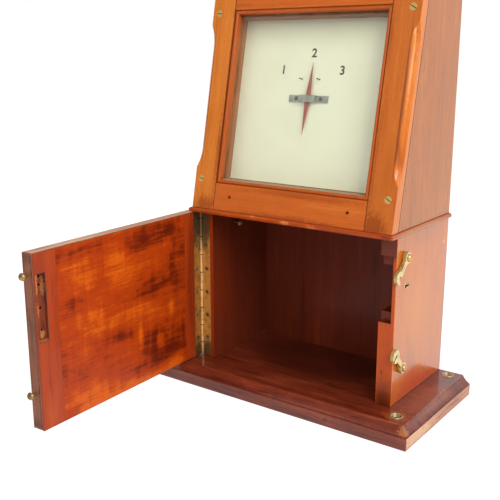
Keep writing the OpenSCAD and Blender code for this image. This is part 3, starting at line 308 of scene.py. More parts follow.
# What a wood has where its own finish doesn't say
woodBasis = {"streaks": 0.5, "figure": 0.05, "cloud": 0.5, "flecks": 0.3, "coat": 0.0,
             "cloudSize": (9, 19, 19), "specular": 0.2, "specularTint": (1, 1, 1)}
woodFinishes = {
    "front": {"dark": (164, 76, 18), "middle": (200, 104, 34), "light": (218, 126, 50), "streaks": 0.34,
              "figure": 0.04, "cloud": 0.2, "gloss": 0.38, "coat": 0.2, "cloudSize": (14, 34, 34)},
    "stileSide": {"dark": (186, 96, 34), "middle": (222, 128, 56), "light": (240, 156, 82), "cloud": 0.2,
                  "gloss": 0.38, "coat": 0.4},
    "chamfer": {"dark": (170, 80, 14), "middle": (208, 110, 26), "light": (228, 138, 46), "figure": 0.0,
                "gloss": 0.4, "coat": 0.08, "cloudSize": (20, 60, 60)},
    "side": {"dark": (148, 82, 32), "middle": (181, 105, 46), "light": (202, 128, 64), "streaks": 0.32,
             "cloud": 0.4, "flecks": 0.5, "gloss": 0.32, "coat": 0.5},
    "lowerSide": {"dark": (172, 74, 4), "middle": (202, 98, 8), "light": (218, 116, 18), "streaks": 0.34,
                  "figure": 0.06, "cloud": 0.4, "flecks": 0.4, "gloss": 0.2, "coat": 0.35, "specular": 1.0,
                  "specularTint": (0.95, 1.0, 0.66)},
    "inside": {"dark": (78, 26, 12), "middle": (106, 40, 20), "light": (130, 52, 26), "streaks": 0.4,
               "cloud": 0.3, "gloss": 0.42, "coat": 0.06},
    "base": {"dark": (80, 26, 12), "middle": (120, 46, 24), "light": (148, 68, 40), "streaks": 0.6,
             "flecks": 0.5, "gloss": 0.36, "coat": 0.6, "cloudSize": (18, 40, 40)},
    # The next is the base wood made pale for the base's right end: painted light
    "baseEndLit": {"dark": (140, 82, 54), "middle": (196, 130, 92), "light": (224, 170, 132), "streaks": 0.8,
                "flecks": 0.5, "gloss": 0.4, "coat": 0.2},
    "panel": {"dark": (108, 28, 4), "middle": (184, 62, 6), "light": (224, 98, 12), "streaks": 0.27,
              "figure": 0.34, "cloud": 0.42, "flecks": 0.6, "gloss": 0.42, "coat": 0.03,
              "cloudSize": (20, 44, 44)},
    "clamp": {"dark": (142, 42, 10), "middle": (176, 64, 18), "light": (192, 78, 26), "streaks": 0.35,
              "figure": 0.03, "cloud": 0.3, "flecks": 0.35, "gloss": 0.38, "coat": 0.15},
    "doorEdge": {"dark": (104, 54, 34), "middle": (142, 82, 54), "light": (166, 104, 72), "streaks": 0.6,
                 "figure": 0.03, "flecks": 0.5, "gloss": 0.42, "coat": 0.1},
    "doorTop": {"dark": (166, 106, 72), "middle": (204, 154, 118), "light": (224, 184, 150), "streaks": 0.6,
                "figure": 0.03, "flecks": 0.5, "gloss": 0.5, "coat": 0.1},
    "waist": {"dark": (126, 44, 4), "middle": (172, 66, 4), "light": (200, 90, 16), "cloud": 0.3,
              "gloss": 0.3, "coat": 0.3},
    "lining": {"dark": (114, 66, 38), "middle": (154, 100, 62), "light": (180, 124, 84), "figure": 0.02,
               "gloss": 0.55},
    "recess": {"dark": (92, 34, 18), "middle": (134, 60, 36), "light": (166, 88, 56), "streaks": 0.7,
               "cloud": 0.7, "flecks": 0.6, "gloss": 0.6},
    # The next is near-black, for painted shade in holes, slots and gaps
    "gap": {"dark": (14, 9, 7), "middle": (22, 13, 9), "light": (30, 18, 12), "streaks": 0.3, "figure": 0.0,
            "cloud": 0.3, "gloss": 0.8},
    "hidden": {"dark": (120, 84, 52), "middle": (160, 116, 74), "light": (184, 140, 94), "figure": 0.02,
               "cloud": 0.3, "flecks": 0.4, "gloss": 0.55},
}

# How the grain runs: a turn that brings it to X
alongX = (0, 0, 0)
alongY = (0, 0, -90)
alongZ = (0, 90, 0)
alongSlope = (leanDegrees, 90, 0)
doorTurn = 88
alongDoor = (0, 0, doorTurn)


def woodMaterial(name, finish, grain, shift=0.0, marks=(), seams=(), figure=(), tint=1.0):
    values = {**woodBasis, **woodFinishes[finish]}
    made, tree, shader, position = startMaterial(name, values["coat"], 0.0, values["specular"],
                                                 values["specularTint"])
    turned = addNode(tree, "Mapping", None, {
        "Vector": position, "Rotation": Euler([math.radians(a) for a in grain]),
        "Location": [shift * share for share in shiftShares]}).outputs[0]
    tints = tint if isinstance(tint, tuple) else (tint, tint, tint)
    tones = {label.capitalize(): tuple(c * t for c, t in zip(shade(*values[label]), tints)) + (1,)
             for label in ("dark", "middle", "light")}
    grown = useGroup(tree, "grain", {
        "Position": turned, **tones, "Streaks": values["streaks"], "Figure": values["figure"],
        "Cloud": values["cloud"], "Flecks": values["flecks"], "Gloss": values["gloss"],
        "Cloud size": values["cloudSize"], "Tone": addFigure(tree, position, figure)})
    color = addSeams(tree, position, addMarks(tree, position, grown["Color"], marks), seams)
    wireSurface(tree, shader, color, grown["Roughness"], grown["Height"], bumpDepth["wood"])
    return made


# What a metal has where its own finish doesn't say
metalBasis = {"tarnish": 0.42, "gloss": 0.4, "metallic": 0.7}
metalFinishes = {
    "brass": {"bright": (226, 202, 150), "dull": (178, 148, 98), "tarnish": 0.34, "gloss": 0.3},
    # The hooks' sides and washers in a darker, duller brass: painted shade
    "hookSideShade": {"bright": (196, 164, 96), "dull": (130, 104, 56), "metallic": 0.4},
    "hookScrew": {"bright": (206, 170, 110), "dull": (140, 106, 62), "gloss": 0.3, "metallic": 0.8},
    "screwBrass": {"bright": (232, 194, 118), "dull": (186, 142, 76), "tarnish": 0.36, "gloss": 0.34,
                   "metallic": 0.55},
    "cupBrass": {"bright": (196, 174, 134), "dull": (126, 104, 74), "gloss": 0.34, "metallic": 0.8},
    "dullBrass": {"bright": (168, 132, 82), "dull": (96, 74, 46), "tarnish": 0.45, "gloss": 0.36,
                  "metallic": 0.8},
    # The two hinge leaves are one brass in a darker and a lighter copy: painted shade on the door's leaf,
    # painted light on the fixed leaf
    "doorLeafShaded": {"bright": (190, 136, 64), "dull": (138, 94, 44), "metallic": 0.6},
    "fixedLeafLit": {"bright": (220, 162, 82), "dull": (168, 118, 56), "tarnish": 0.38, "metallic": 0.5},
    "knuckle": {"bright": (226, 180, 118), "dull": (176, 130, 76), "tarnish": 0.38, "gloss": 0.32},
    "leafScrew": {"bright": (128, 110, 86), "dull": (84, 70, 54), "tarnish": 0.45, "metallic": 0.5},
    "bridgeScrew": {"bright": (140, 112, 98), "dull": (96, 74, 64), "tarnish": 0.45, "metallic": 0.6},
    "zinc": {"bright": (168, 172, 160), "dull": (116, 120, 108), "tarnish": 0.4},
    "darkScrew": {"bright": (96, 78, 58), "dull": (52, 44, 36), "tarnish": 0.5, "gloss": 0.42,
                  "metallic": 1.0},
    "steel": {"bright": (120, 116, 110), "dull": (70, 66, 60), "tarnish": 0.45, "gloss": 0.38,
              "metallic": 1.0},
    "iron": {"bright": (84, 84, 88), "dull": (48, 46, 46), "tarnish": 0.5, "gloss": 0.5, "metallic": 1.0},
}


def metalMaterial(name, finish, marks=(), seams=()):
    values = {**metalBasis, **metalFinishes[finish]}
    made, tree, shader, position = startMaterial(name, metallic=values["metallic"])
    aged = useGroup(tree, "metal", {
        "Position": position, "Bright": shade(*values["bright"]), "Dull": shade(*values["dull"]),
        "Tarnish": values["tarnish"], "Gloss": values["gloss"]})
    color = addSeams(tree, position, addMarks(tree, position, aged["Color"], marks), seams)
    wireSurface(tree, shader, color, aged["Roughness"], aged["Height"], bumpDepth["metal"])
    return made


brass = metalMaterial("Brass", "brass")
screwBrass = metalMaterial("Screw brass", "screwBrass")
cupBrass = metalMaterial("Screw cup brass", "cupBrass")
dullBrass = metalMaterial("Dull brass", "dullBrass")
hookSideShade = metalMaterial("Hook sides", "hookSideShade")
hookScrew = metalMaterial("Hook screws", "hookScrew")
leafScrew = metalMaterial("Leaf screws", "leafScrew")
darkScrew = metalMaterial("Dark screws", "darkScrew")
zinc = metalMaterial("Zinc", "zinc")
bridgeScrew = metalMaterial("Bridge screws", "bridgeScrew")
steel = metalMaterial("Steel", "steel")
iron = metalMaterial("Magnet iron", "iron")
# Near-black wood put in holes, slots and gaps: painted shade
gapShade = woodMaterial("Dark gap", "gap", alongX)
print("metals made")


# Meshes

# weld: points this near are one; flat and sharp: least angles, in degrees, between two faces
meshing = {"weld": 0.002, "flat": 0.5, "sharp": 35}


def finishNode(name, *materials):
    # A CAD node that keeps its own mesh
    target = nodes[name]
    target.data.materials.clear()
    for made in materials:
        target.data.materials.append(made)


def boardFromNode(name, piece, body, materials, arris=0.4, steps=2, paint=None, shortest=3.0, turn=25,
                  crisp=None, share=None):
    # A copy of a node with its flat faces joined and its long outer edges eased.
    # materials: the faces' own, the eased edges', and any that paint(centre, normal) picks
    # turn: the least angle of an eased edge; crisp(middle) names edges that stay sharp, and
    # share(middle) gives the part of the arris that an edge gets
    made = addObject(piece, nodes[name].data.copy())
    made.data.materials.clear()
    for entry in materials:
        made.data.materials.append(entry)
    if "custom_normal" in made.data.attributes:
        made.data.attributes.remove(made.data.attributes["custom_normal"])
    mesh = bmesh.new()
    mesh.from_mesh(made.data)
    bmesh.ops.remove_doubles(mesh, verts=mesh.verts, dist=meshing["weld"] * mm)
    bmesh.ops.dissolve_limit(mesh, angle_limit=math.radians(meshing["flat"]), verts=mesh.verts,
                             edges=mesh.edges)
    weights = mesh.edges.layers.float.new("bevel_weight_edge")
    for edge in mesh.edges:
        sharp = len(edge.link_faces) == 2 and edge.calc_face_angle(0) > math.radians(turn)
        middle = (edge.verts[0].co + edge.verts[1].co) / 2 / mm
        if sharp and edge.is_convex and edge.calc_length() > shortest * mm and not (crisp and crisp(middle)):
            edge[weights] = share(middle) if share else 1.0
    for face in mesh.faces:
        face.material_index = paint(face.calc_center_median() / mm, face.normal) if paint else 0
        face.smooth = True
    mesh.to_mesh(made.data)
    mesh.free()
    made.data.set_sharp_from_angle(angle=math.radians(meshing["sharp"]))
    bevel = made.modifiers.new("Eased edges", "BEVEL")
    bevel.limit_method = "WEIGHT"
    bevel.width = arris * mm
    bevel.segments = steps
    bevel.use_clamp_overlap = False
    bevel.material = 1 if len(materials) > 1 else -1
    made.modifiers.new("Flat faces", "WEIGHTED_NORMAL").keep_sharp = True
    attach(made, body)
    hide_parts(name)
    return made


# Base

# ledge: where the cove begins; half: half the base's width
base = {"arris": 0.7, "steps": 3, "top": 23, "ledge": 14.5, "half": 164.5, "front": -103.5}
footDirt = {"color": (46, 16, 8), "strength": 0.8, "ragged": 0.2}
baseTop = woodMaterial("Base wood", "base", alongX, 0.13, marks=[
    makeMark((0, 5, base["top"]), (126, 76, 3), (64, 22, 12), 0.8, 0.15),  # the compartment's floor, darkened: painted shade
    makeMark((caseHalf + 0.4, 0, base["top"]), (1.3, 76, 2), **footDirt),
    makeMark((118, -64, base["top"]), (12, 1.4, 2), **footDirt),
    makeMark((160, -98, 18), (9, 9, 7), (182, 108, 62), 0.8, 0.7),  # the corner that is worn bare
    makeMark((141.5, -79.5, base["top"]), (17, 15, 4), (176, 84, 36), 0.55, 0.7),  # rubbed round the cup
    makeMark((148, -20, base["top"]), (16, 62, 4), (158, 84, 58), 0.45, 0.9),  # rubbed along the right
    makeMark((159, -24, 19), (6, 90, 5), (160, 108, 88), 0.5, 0.25, 1.0),  # the cove paler and greyer along the right
    makeMark((60, base["front"], 15), (110, 5, 4), (150, 66, 36), 0.45, 0.9),
    makeMark((-40, base["front"], 9), (5, 4, 3), (70, 26, 16), 0.7, 0.6),  # two dents in the front
    makeMark((72, base["front"], 8), (4, 4, 4), (70, 26, 16), 0.7, 0.6)],
    seams=[{"across": (0, 0, 1), "at": base["ledge"], "width": 0.8, "strength": 0.6,
            "color": shade(58, 22, 12)}])
baseArris = woodMaterial("Base edges", "base", alongX, 0.13, tint=1.3)
# The base's right end in a far paler copy of the base wood, paler still at the front: painted light from the
# lamp at the right
baseEndLit = woodMaterial("Base end", "baseEndLit", alongY, 0.4, marks=[
    makeMark((base["half"], -76, 7), (3, 44, 8), (236, 194, 152), 0.6, 0.7)])
boardFromNode("base_board", "base_wood", "case", [baseTop, baseArris, baseEndLit], base["arris"], base["steps"],
              paint=lambda at, normal: 2 if normal.x > squareOn and at.x > base["half"] - 1.5 else 0)
finishNode("base_cups", cupBrass)
finishNode("base_fixing_screws", steel)
print("base made")

# Lower case

lowerCase = {"arris": 0.6, "backArris": 0.3, "steps": 2, "top": 204, "wall": -109, "sideMiddle": 118}
smallPart = {"arris": 0.1, "steps": 1}
caseJoints = [{"across": (0, 0, 1), "at": lowerCase["top"], "width": 0.9, "strength": 0.8},
              {"across": (0, 0, 1), "at": base["top"], "width": 0.8, "strength": 0.7}]
sideOuter = woodMaterial("Lower side wood", "lowerSide", alongZ, 0.7, seams=caseJoints, marks=[
    makeMark((caseHalf, -57, 142), (3, 4, 0.6), (70, 30, 20), 0.6, 0.3),  # scratch by the keyhole
    makeMark((caseHalf, 53, 179), (4, 3, 3), (214, 190, 160), 0.6),  # pale chip near the back
    makeMark((caseHalf, -62, 120), (4, 8, 96), (206, 104, 22), 0.5, 0.3),  # paler along its front
    makeMark((caseHalf, -14, 118), (4, 52, 74), (226, 132, 26), 0.35, 0.2, 1.0),
    makeMark((caseHalf, 0, base["top"]), (4, 100, 40), (200, 62, 0), 0.9, 0.2, 0.9),  # redder towards the foot: painted reflection of the base
    makeMark((caseHalf, 64, 110), (4, 6, 96), (120, 50, 20), 0.5, 0.3),  # darker along its back
    makeMark((caseHalf, 0, lowerCase["top"]), (4, 90, 26), (140, 74, 30), 0.45, 0.2, 1.0)])  # darker under the waist: painted shade
sideInner = woodMaterial("Lower case inside", "inside", alongZ, 0.9, marks=[
    makeMark((lowerCase["wall"], 46, 24), (8, 16, 5), (120, 74, 56), 0.5, 0.8),  # dust in the far corner
    makeMark((lowerCase["wall"], -22, 186), (4, 9, 7), (70, 26, 14), 0.6, 0.8),  # dark ring round the stud
    # The left wall lighter and redder near the opening: painted light
    makeMark((lowerCase["wall"], -52, 110), (4, 40, 96), (132, 44, 10), 0.55, 0.2, 1.0)])
sideFront = woodMaterial("Lower side front edge", "clamp", alongZ, 0.2, tint=(1.16, 1.42, 1.1), marks=[
    makeMark((lowerCase["sideMiddle"], caseFront, 20), (20, 4, 46), (72, 24, 10), 0.85, 0.12, 0.9),
    makeMark((lowerCase["sideMiddle"], caseFront, 194), (24, 4, 20), (92, 38, 22), 0.9, 0.15),
    makeMark((115, caseFront, 59), (1.2, 2, 3), (70, 30, 14), 0.8)])
leftFront = woodMaterial("Left side front edge", "clamp", alongZ, 0.2, tint=0.75)
sideArris = woodMaterial("Lower side edges", "lowerSide", alongZ, 0.7, tint=1.1)
compartmentBack = woodMaterial("Compartment back", "inside", alongZ, 1.3)


def paintSide(outward):
    # The outer face, the front edge, and the rest
    def pick(at, normal):
        if normal.x * outward > squareOn and abs(at.x) > caseHalf - 1:
            return 0
        if normal.y < -squareOn and at.y < caseFront + 0.5:
            return 3
        return 2
    return pick


def sideJoint(middle):
    # Edges that other boards cover, and those inside the compartment, aren't worn
    return middle.z < base["top"] + 1 or middle.z > lowerCase["top"] - 1 or abs(middle.x) < caseHalf - 1


for label, outward, frontWood in (("left", -1, leftFront), ("right", 1, sideFront)):
    boardFromNode(f"lower_{label}_side", f"lower_{label}_wood", "case",
                  [sideOuter, sideArris, sideInner, frontWood], lowerCase["arris"], lowerCase["steps"],
                  paintSide(outward), crisp=sideJoint)
boardFromNode("lower_back_board", "lower_back_wood", "case", [compartmentBack, compartmentBack],
              lowerCase["backArris"], crisp=sideJoint)
# The keyhole's inner faces in painted shade
boardFromNode("keyhole_lining", "keyhole_rim", "case", [brass, brass, gapShade], smallPart["arris"],
              smallPart["steps"], shortest=0.2, paint=lambda at, normal: 0 if normal.x > squareOn else 2)
finishNode("wall_stud", dullBrass)

# Waist board: its nose is paler at the right end and chipped in front
waist = {"arris": 0.3, "noseFront": -82, "middle": 207}
waistWood = woodMaterial("Waist wood", "waist", alongX, 0.35, marks=[
    makeMark((134, -12, waist["middle"]), (10, 110, 12), (188, 114, 62), 0.9, 0.2),  # pale right end
    makeMark((2, waist["noseFront"], waist["middle"]), (8, 3, 2.6), (216, 132, 62), 0.8, 0.6),
    makeMark((34, waist["noseFront"], 206), (10, 3, 3), (206, 108, 44), 0.7, 0.8),
    makeMark((-40, -80.5, 209), (3, 2, 1.4), (200, 130, 70), 0.7, 0.5),
    makeMark((122, waist["noseFront"], waist["middle"]), (7, 3, 3), (120, 40, 16), 0.7, 0.6)])  # dirt
waistUnder = woodMaterial("Waist underside", "inside", alongX, 0.5)
boardFromNode("waist_board", "waist_wood", "case", [waistWood, waistWood, waistUnder], waist["arris"],
              paint=lambda at, normal: 2 if normal.z < -0.95 else 0)
finishNode("glue_blocks", woodMaterial("Block wood", "hidden", alongY))
print("lower case made")

# Upper case

upperCase = {"arris": 0.5, "backArris": 0.4, "bottom": 209.6, "frameThick": 13.7, "inner": 110}
slopeIn = slope.to_3x3() @ Vector((0, 1, 0))
slopeUp = slope.to_3x3() @ Vector((0, 0, 1))
frameBack = slopeIn.dot(onSlope(0, upperCase["frameThick"] * mm, 0)) / mm
sideFrontJoint = {"across": slopeIn, "at": frameBack, "width": 1.0, "strength": 0.9, "ragged": 0.3}
waistJoint = {"across": (0, 0, 1), "at": upperCase["bottom"], "width": 0.9, "strength": 0.8}
upperOuter = woodMaterial("Upper side wood", "side", alongZ, 0.3, seams=[sideFrontJoint, waistJoint])
upperInner = woodMaterial("Upper inside", "inside", alongZ, 0.6)


def paintUpperSide(outward):
    def pick(at, normal):
        return 0 if normal.x * outward > squareOn or abs(at.x) > upperCase["inner"] else 2
    return pick


for label, outward in (("left", -1), ("right", 1)):
    boardFromNode(f"upper_{label}_side", f"upper_{label}_wood", "case", [upperOuter, upperOuter, upperInner],
                  upperCase["arris"], paint=paintUpperSide(outward))
backWood = woodMaterial("Back panel wood", "side", alongZ, 1.7, tint=0.7)
boardFromNode("upper_back_panel", "upper_back_wood", "case", [backWood, backWood], upperCase["backArris"])
finishNode("back_panel_screws", darkScrew)
topWood = woodMaterial("Top board wood", "side", alongX, 2.1)
boardFromNode("top_board", "top_wood", "case", [topWood, topWood], upperCase["backArris"])
print("upper case made")

# Dial frame

dialFrame = {"arris": 0.45, "width": 30.5, "height": 254, "chamferFrom": 120.2, "chamferMiddle": 122.8,
             "chamferStops": (57, 197), "railHoles": 75.25, "railHoleUp": 16.3}
stileEdge = caseHalf - dialFrame["width"]
frameDirt = {"strength": 0.75, "color": shade(104, 38, 12)}
frameJoints = [{"across": (1, 0, 0), "at": side * stileEdge, "width": 1.0, **frameDirt} for side in (-1, 1)]
frameJoints.append({"across": slopeUp, "width": 0.8, "at": slopeUp.dot(onSlope(0, 0, 0)) / mm, **frameDirt})
slopeBack = slope.inverted()


def paintStile(outward):
    # Front, then eased edges, the side that shows the frame's thickness, and the stopped chamfer
    def pick(at, normal):
        facing = slopeBack.to_3x3() @ normal
        if facing.x * outward > 0.95:
            return 2
        return 3 if facing.x * outward > 0.1 and facing.y < -0.05 else 0
    return pick


def frameMark(x, up, wide, high, color=(0, 0, 0), strength=1.0, ragged=0.4, soft=0.55):
    # A mark on the frame's front, by its place on the slope
    return makeMark(onSlope(x * mm, 0, up * mm) / mm, (wide, 60, high), color, strength, ragged, soft)


def bothSides(x, *values):
    return [frameMark(side * x, *values) for side in (-1, 1)]


def stileCloud(x, up, wide, high, tone):
    return {**frameMark(x, up, wide, high, soft=1.0), "tone": tone}


# A darker line along each chamfer's inner edge
chamferDarkLines = bothSides(dialFrame["chamferFrom"], dialFrame["height"] / 2, 1.6, 104, (104, 40, 8), 0.75, 0.1)
# Painted highlights: a pale streak up each chamfer, and a glint at each of its stops
chamferHighlights = bothSides(123.2, 162, 1.4, 56, (240, 172, 100), 0.6, 0.3, 0.9)
chamferHighlights += [frameMark(side * dialFrame["chamferMiddle"], up, 1.7, 8, (234, 176, 136), 0.6, 0.4, 0.9)
                 for side in (-1, 1) for up in dialFrame["chamferStops"]]
chamferWood = woodMaterial("Chamfer wood", "chamfer", alongSlope, 0.6, chamferDarkLines + chamferHighlights)
stileClouds = [stileCloud(*cloud) for cloud in (
    (106, 8, 22, 20, -0.45), (103, 112, 8, 38, -0.15), (115, 62, 8, 34, -0.1), (99, 190, 6, 44, -0.3),
    (-108, 6, 20, 14, -0.3), (-98, 70, 5, 60, -0.35))]
stileMarks = chamferDarkLines + bothSides(112, 2, 18, 16, (150, 66, 18), 0.5, 0.6, 0.9)  # handled feet
stileMarks += bothSides(99, 60, 3, 90, (150, 62, 16), 0.45, 0.5, 0.9)  # dirt beside the bead
# The bottom rail's two holes painted dark: painted shade inside them
railMarks = bothSides(dialFrame["railHoles"], dialFrame["railHoleUp"], 3, 3, (60, 24, 8), 0.8, 0.2, 0.8)
railMarks.append(frameMark(0, 0, 100, 6, (140, 56, 12), 0.6, 0.5, 0.9))  # dirt above the waist
railMarks.append(frameMark(20, 27, 90, 4, (150, 62, 14), 0.4, 0.5))
frameArris = woodMaterial("Frame edges", "front", alongSlope, 0.1, (), frameJoints + [sideFrontJoint],
                          tint=0.85)
stileSide = woodMaterial("Stile side wood", "stileSide", alongSlope, 0.4, seams=[sideFrontJoint])
for label, outward, shift, tint in (("left", -1, 0.0, (1.13, 1.3, 1.2)), ("right", 1, 0.8, 0.94)):
    stileWood = woodMaterial(f"{label.capitalize()} stile wood", "front", alongSlope, shift, stileMarks,
                             frameJoints, stileClouds, tint)
    boardFromNode(f"{label}_stile", f"{label}_stile_wood", "case",
                  [stileWood, frameArris, stileSide, chamferWood], dialFrame["arris"],
                  paint=paintStile(outward), turn=60)
for label, shift, marks in (("bottom", 0.5, railMarks), ("top", 1.1, ())):
    railWood = woodMaterial(f"{label.capitalize()} rail wood", "front", alongX, shift, marks, frameJoints,
                            tint=(1.0, 0.88, 0.8))
    boardFromNode(f"{label}_rail", f"{label}_rail_wood", "case", [railWood, frameArris], dialFrame["arris"])
finishNode("sight_bead", woodMaterial("Bead wood", "front", alongSlope, 0.2, seams=frameJoints,
                                      tint=(0.82, 0.66, 0.6)))
# The screw slots painted dark: painted shade
boardFromNode("frame_screws", "frame_screw_heads", "case", [screwBrass, screwBrass, gapShade],
              smallPart["arris"], smallPart["steps"], shortest=0.3,
              paint=lambda at, normal: 2 if (slopeBack @ (at * mm)).y > 0.3 * mm else 0)
finishNode("dial_lining", woodMaterial("Lining wood", "lining", alongSlope, 0.2, marks=[
    frameMark(0, 31, 300, 5, (194, 180, 148), 0.85, 0.1, 0.3)]))  # painted reflection of the dial on the sill below it


def makeGlass(name, tint):
    made = bpy.data.materials.new(name)
    tree = emptyTree(made)
    values = {"Base Color": tint, "Roughness": 0.02, "IOR": 1.5, "Transmission Weight": 1.0}
    shader = addNode(tree, "BsdfPrincipled", None, values)
    clear = addNode(tree, "BsdfTransparent", None, {"Color": tint})
    rays = addNode(tree, "LightPath").outputs
    through = calc(tree, "MAXIMUM", rays["Is Shadow Ray"], rays["Is Diffuse Ray"])
    both = addNode(tree, "MixShader", None, {0: through, 1: shader.outputs[0], 2: clear.outputs[0]})
    addNode(tree, "OutputMaterial", None, {"Surface": both.outputs[0]})
    return made


finishNode("glass_pane", makeGlass("Window glass", (0.97, 0.985, 0.965, 1)))
print("dial frame made")

# Dial

# Where up the slope the dial begins and ends darkening, and the colour it darkens to: painted shade that the
# frame's top casts on the dial
dial = {"face": (242, 240, 212), "worn": (234, 233, 203), "topShade": (176, 171, 144), "speck": (150, 140, 110),
        "depth": 22, "pivotUp": 131.3, "topShadeFrom": 172, "topShadeTo": 232}


def makeDialMaterial():
    made, tree, shader, position = startMaterial("Dial enamel", coat=0.2)
    grime = noise(tree, position, (22, 22, 22), 4, 0.6)
    specks = ease(tree, noise(tree, position, (900, 900, 900), 1), 0.72, 0.8)
    face = mixColors(tree, ease(tree, grime, 0.35, 0.85), shade(*dial["face"]), shade(*dial["worn"]))
    height = addNode(tree, "SeparateXYZ", None, {0: position}).outputs["Z"]
    # The dial darkens towards its top: painted shade cast by the frame's top
    reach = [onSlope(0, 0, dial[label] * mm).z for label in ("topShadeFrom", "topShadeTo")]
    topShade = calc(tree, "MULTIPLY", ease(tree, height, *reach), 0.9)
    face = mixColors(tree, topShade, face, shade(*dial["topShade"]))
    color = mixColors(tree, calc(tree, "MULTIPLY", specks, 0.3), face, shade(*dial["speck"]))
    wireSurface(tree, shader, color, calc(tree, "MULTIPLY_ADD", grime, 0.2, 0.3), grime, 0.02)
    return made


finishNode("dial_plate", makeDialMaterial())
finishNode("bridge", zinc)
finishNode("bridge_screws", bridgeScrew)
finishNode("stop_pins", steel)
finishNode("movement_board", woodMaterial("Movement board wood", "inside", alongSlope))
finishNode("board_battens", woodMaterial("Batten wood", "hidden", alongSlope))
for label in ("board_screws", "coil_screws", "rear_cock", "rear_cock_screws", "terminals",
              "left_coil_former", "right_coil_former"):
    finishNode(label, brass)


def makePlain(name, color, rough, variation, scale, depth):
    made, tree, shader, position = startMaterial(name)
    broken = noise(tree, position, (scale, scale, scale), 4, 0.6)
    other = tuple(c * variation for c in color[:3]) + (1,)
    mixed = mixColors(tree, ease(tree, broken, 0.3, 0.7), color, other)
    wireSurface(tree, shader, mixed, calc(tree, "MULTIPLY_ADD", broken, 0.2, rough), broken, depth)
    return made


silk = makePlain("Silk winding", shade(60, 96, 58), 0.6, 0.7, 1400, 0.1)
finishNode("terminal_block", makePlain("Ebonite", shade(34, 31, 29), 0.3, 1.4, 300, 0.03))
for label in ("left_winding", "right_winding", "lead_wires"):
    finishNode(label, silk)
needleRed = makePlain("Needle red", shade(170, 84, 70), 0.4, 0.82, 260, 0.02)
finishNode("needle", needleRed)
finishNode("needle_collet", brass)
finishNode("arbor", steel)
finishNode("magnet_bar", iron)
print("dial made")

# Numbers, where the dial is marked for the needle's three positions

numbers = {"size": 13.0, "thick": 0.06, "bold": 0.35, "color": (70, 68, 62),
           "places": {"1": (-36.5, 30.5), "2": (0.5, 48.5), "3": (37, 30.5)}}
ink = makePlain("Number ink", shade(*numbers["color"]), 0.5, 0.8, 700, 0.01)
for word, (x, up) in numbers["places"].items():
    curve = bpy.data.curves.new("number_" + word, "FONT")
    curve.body = word
    curve.size = numbers["size"] * mm
    curve.align_x = "CENTER"
    curve.align_y = "CENTER"
    curve.extrude = numbers["thick"] / 2 * mm
    curve.offset = numbers["bold"] * mm
    curve.resolution_u = 6
    letter = addObject("number_" + word, curve)
    turn = slope.to_3x3().to_4x4() @ Matrix.Rotation(math.radians(90), 4, "X")
    place = onSlope(x * mm, (dial["depth"] - numbers["thick"] / 2) * mm, (dial["pivotUp"] + up) * mm)
    letter.matrix_world = Matrix.Translation(place) @ turn
    letter.data.materials.append(ink)
    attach(letter, "case")
print("numbers made")

# Door

# inside and middle: how deep the inner face and the board's middle lie when the door is shut
door = {"arris": 0.8, "corner": 3.6, "steps": 3, "cornerSteps": 4, "joint": 96.8, "inside": -65.3,
        "middle": -72, "bottom": 24, "top": 203, "freeEdge": 126}
# The recess in the free edge, also as it is when the door is shut; holes: its screw holes' depth
recess = {"across": (110, 123), "up": (114, 183), "floor": -68.7, "holes": -75}
doorAxis = Vector((-126.7, -64.4, 0))
doorBack = Matrix.Rotation(math.radians(doorTurn), 3, "Z")


def closedPlace(at):
    # A point of the open door, as it is when the door is shut
    return doorBack @ (at - doorAxis) + doorAxis


def openPlace(x, y, z):
    return doorBack.inverted() @ (Vector((x, y, z)) - doorAxis) + doorAxis


doorAcross = doorBack.inverted() @ Vector((1, 0, 0))
doorJoints = [{"across": doorAcross, "at": doorAcross.dot(openPlace(side * door["joint"], 0, 0)),
               "width": 0.45, "strength": 0.3} for side in (-1, 1)]


def panelCloud(x, z, wide, high, tone):
    # A soft cloud in the panel's figure, by its place on the shut door
    place = openPlace(x, door["inside"], z)
    return {**makeMark(place, (9, wide, high), ragged=0.24, soft=1.0, grain=(26, 44, 76)), "tone": tone}


panelClouds = [panelCloud(*cloud) for cloud in (
    (-82, 140, 40, 90, -0.3), (-40, 128, 32, 24, -0.36), (-38, 66, 36, 30, -0.4), (-50, 188, 66, 27, -0.4),
    (-14, 180, 26, 22, -0.2), (-78, 56, 40, 26, -0.34), (-46, 40, 62, 18, -0.34), (-21, 121, 22, 17, -0.12),
    (90, 146, 24, 38, -0.22), (34, 88, 60, 17, -0.14), (60, 194, 56, 14, -0.22), (56, 60, 56, 18, -0.14),
    (8, 88, 34, 18, -0.2), (8, 164, 44, 30, 0.3), (68, 166, 34, 28, 0.24), (24, 110, 80, 18, 0.3),
    (-71, 101, 8, 24, 0.5), (-18, 80, 7, 20, 0.44), (-50, 66, 9, 18, 0.48), (-78, 33, 26, 12, 0.44),
    (68, 82, 24, 17, 0.28), (42, 122, 24, 16, 0.16), (0, 24, 140, 14, 0.6), (66, 36, 60, 20, 0.3))]
panelWood = woodMaterial("Door panel wood", "panel", (0, 6, doorTurn), 0.2, seams=doorJoints,
                         figure=panelClouds)
arrisDirt = makeMark(openPlace(door["freeEdge"], door["inside"], 113), (2.6, 2.8, 400), (84, 34, 20),
                     0.7, 0.3)
clampWood = woodMaterial("Door clamp wood", "clamp", alongZ, 0.4, seams=doorJoints, marks=[
    arrisDirt,
    makeMark(openPlace(112, door["inside"], 42), (6, 11, 34), (206, 92, 34), 0.45, 0.6, 0.9, (60, 60, 14)),
    makeMark(openPlace(117, door["inside"], 190), (6, 14, 44), (140, 44, 16), 0.5, 0.5, 0.9),
    makeMark(openPlace(-112, door["inside"], 120), (6, 15, 110), (126, 34, 6), 0.8, 0.3)])
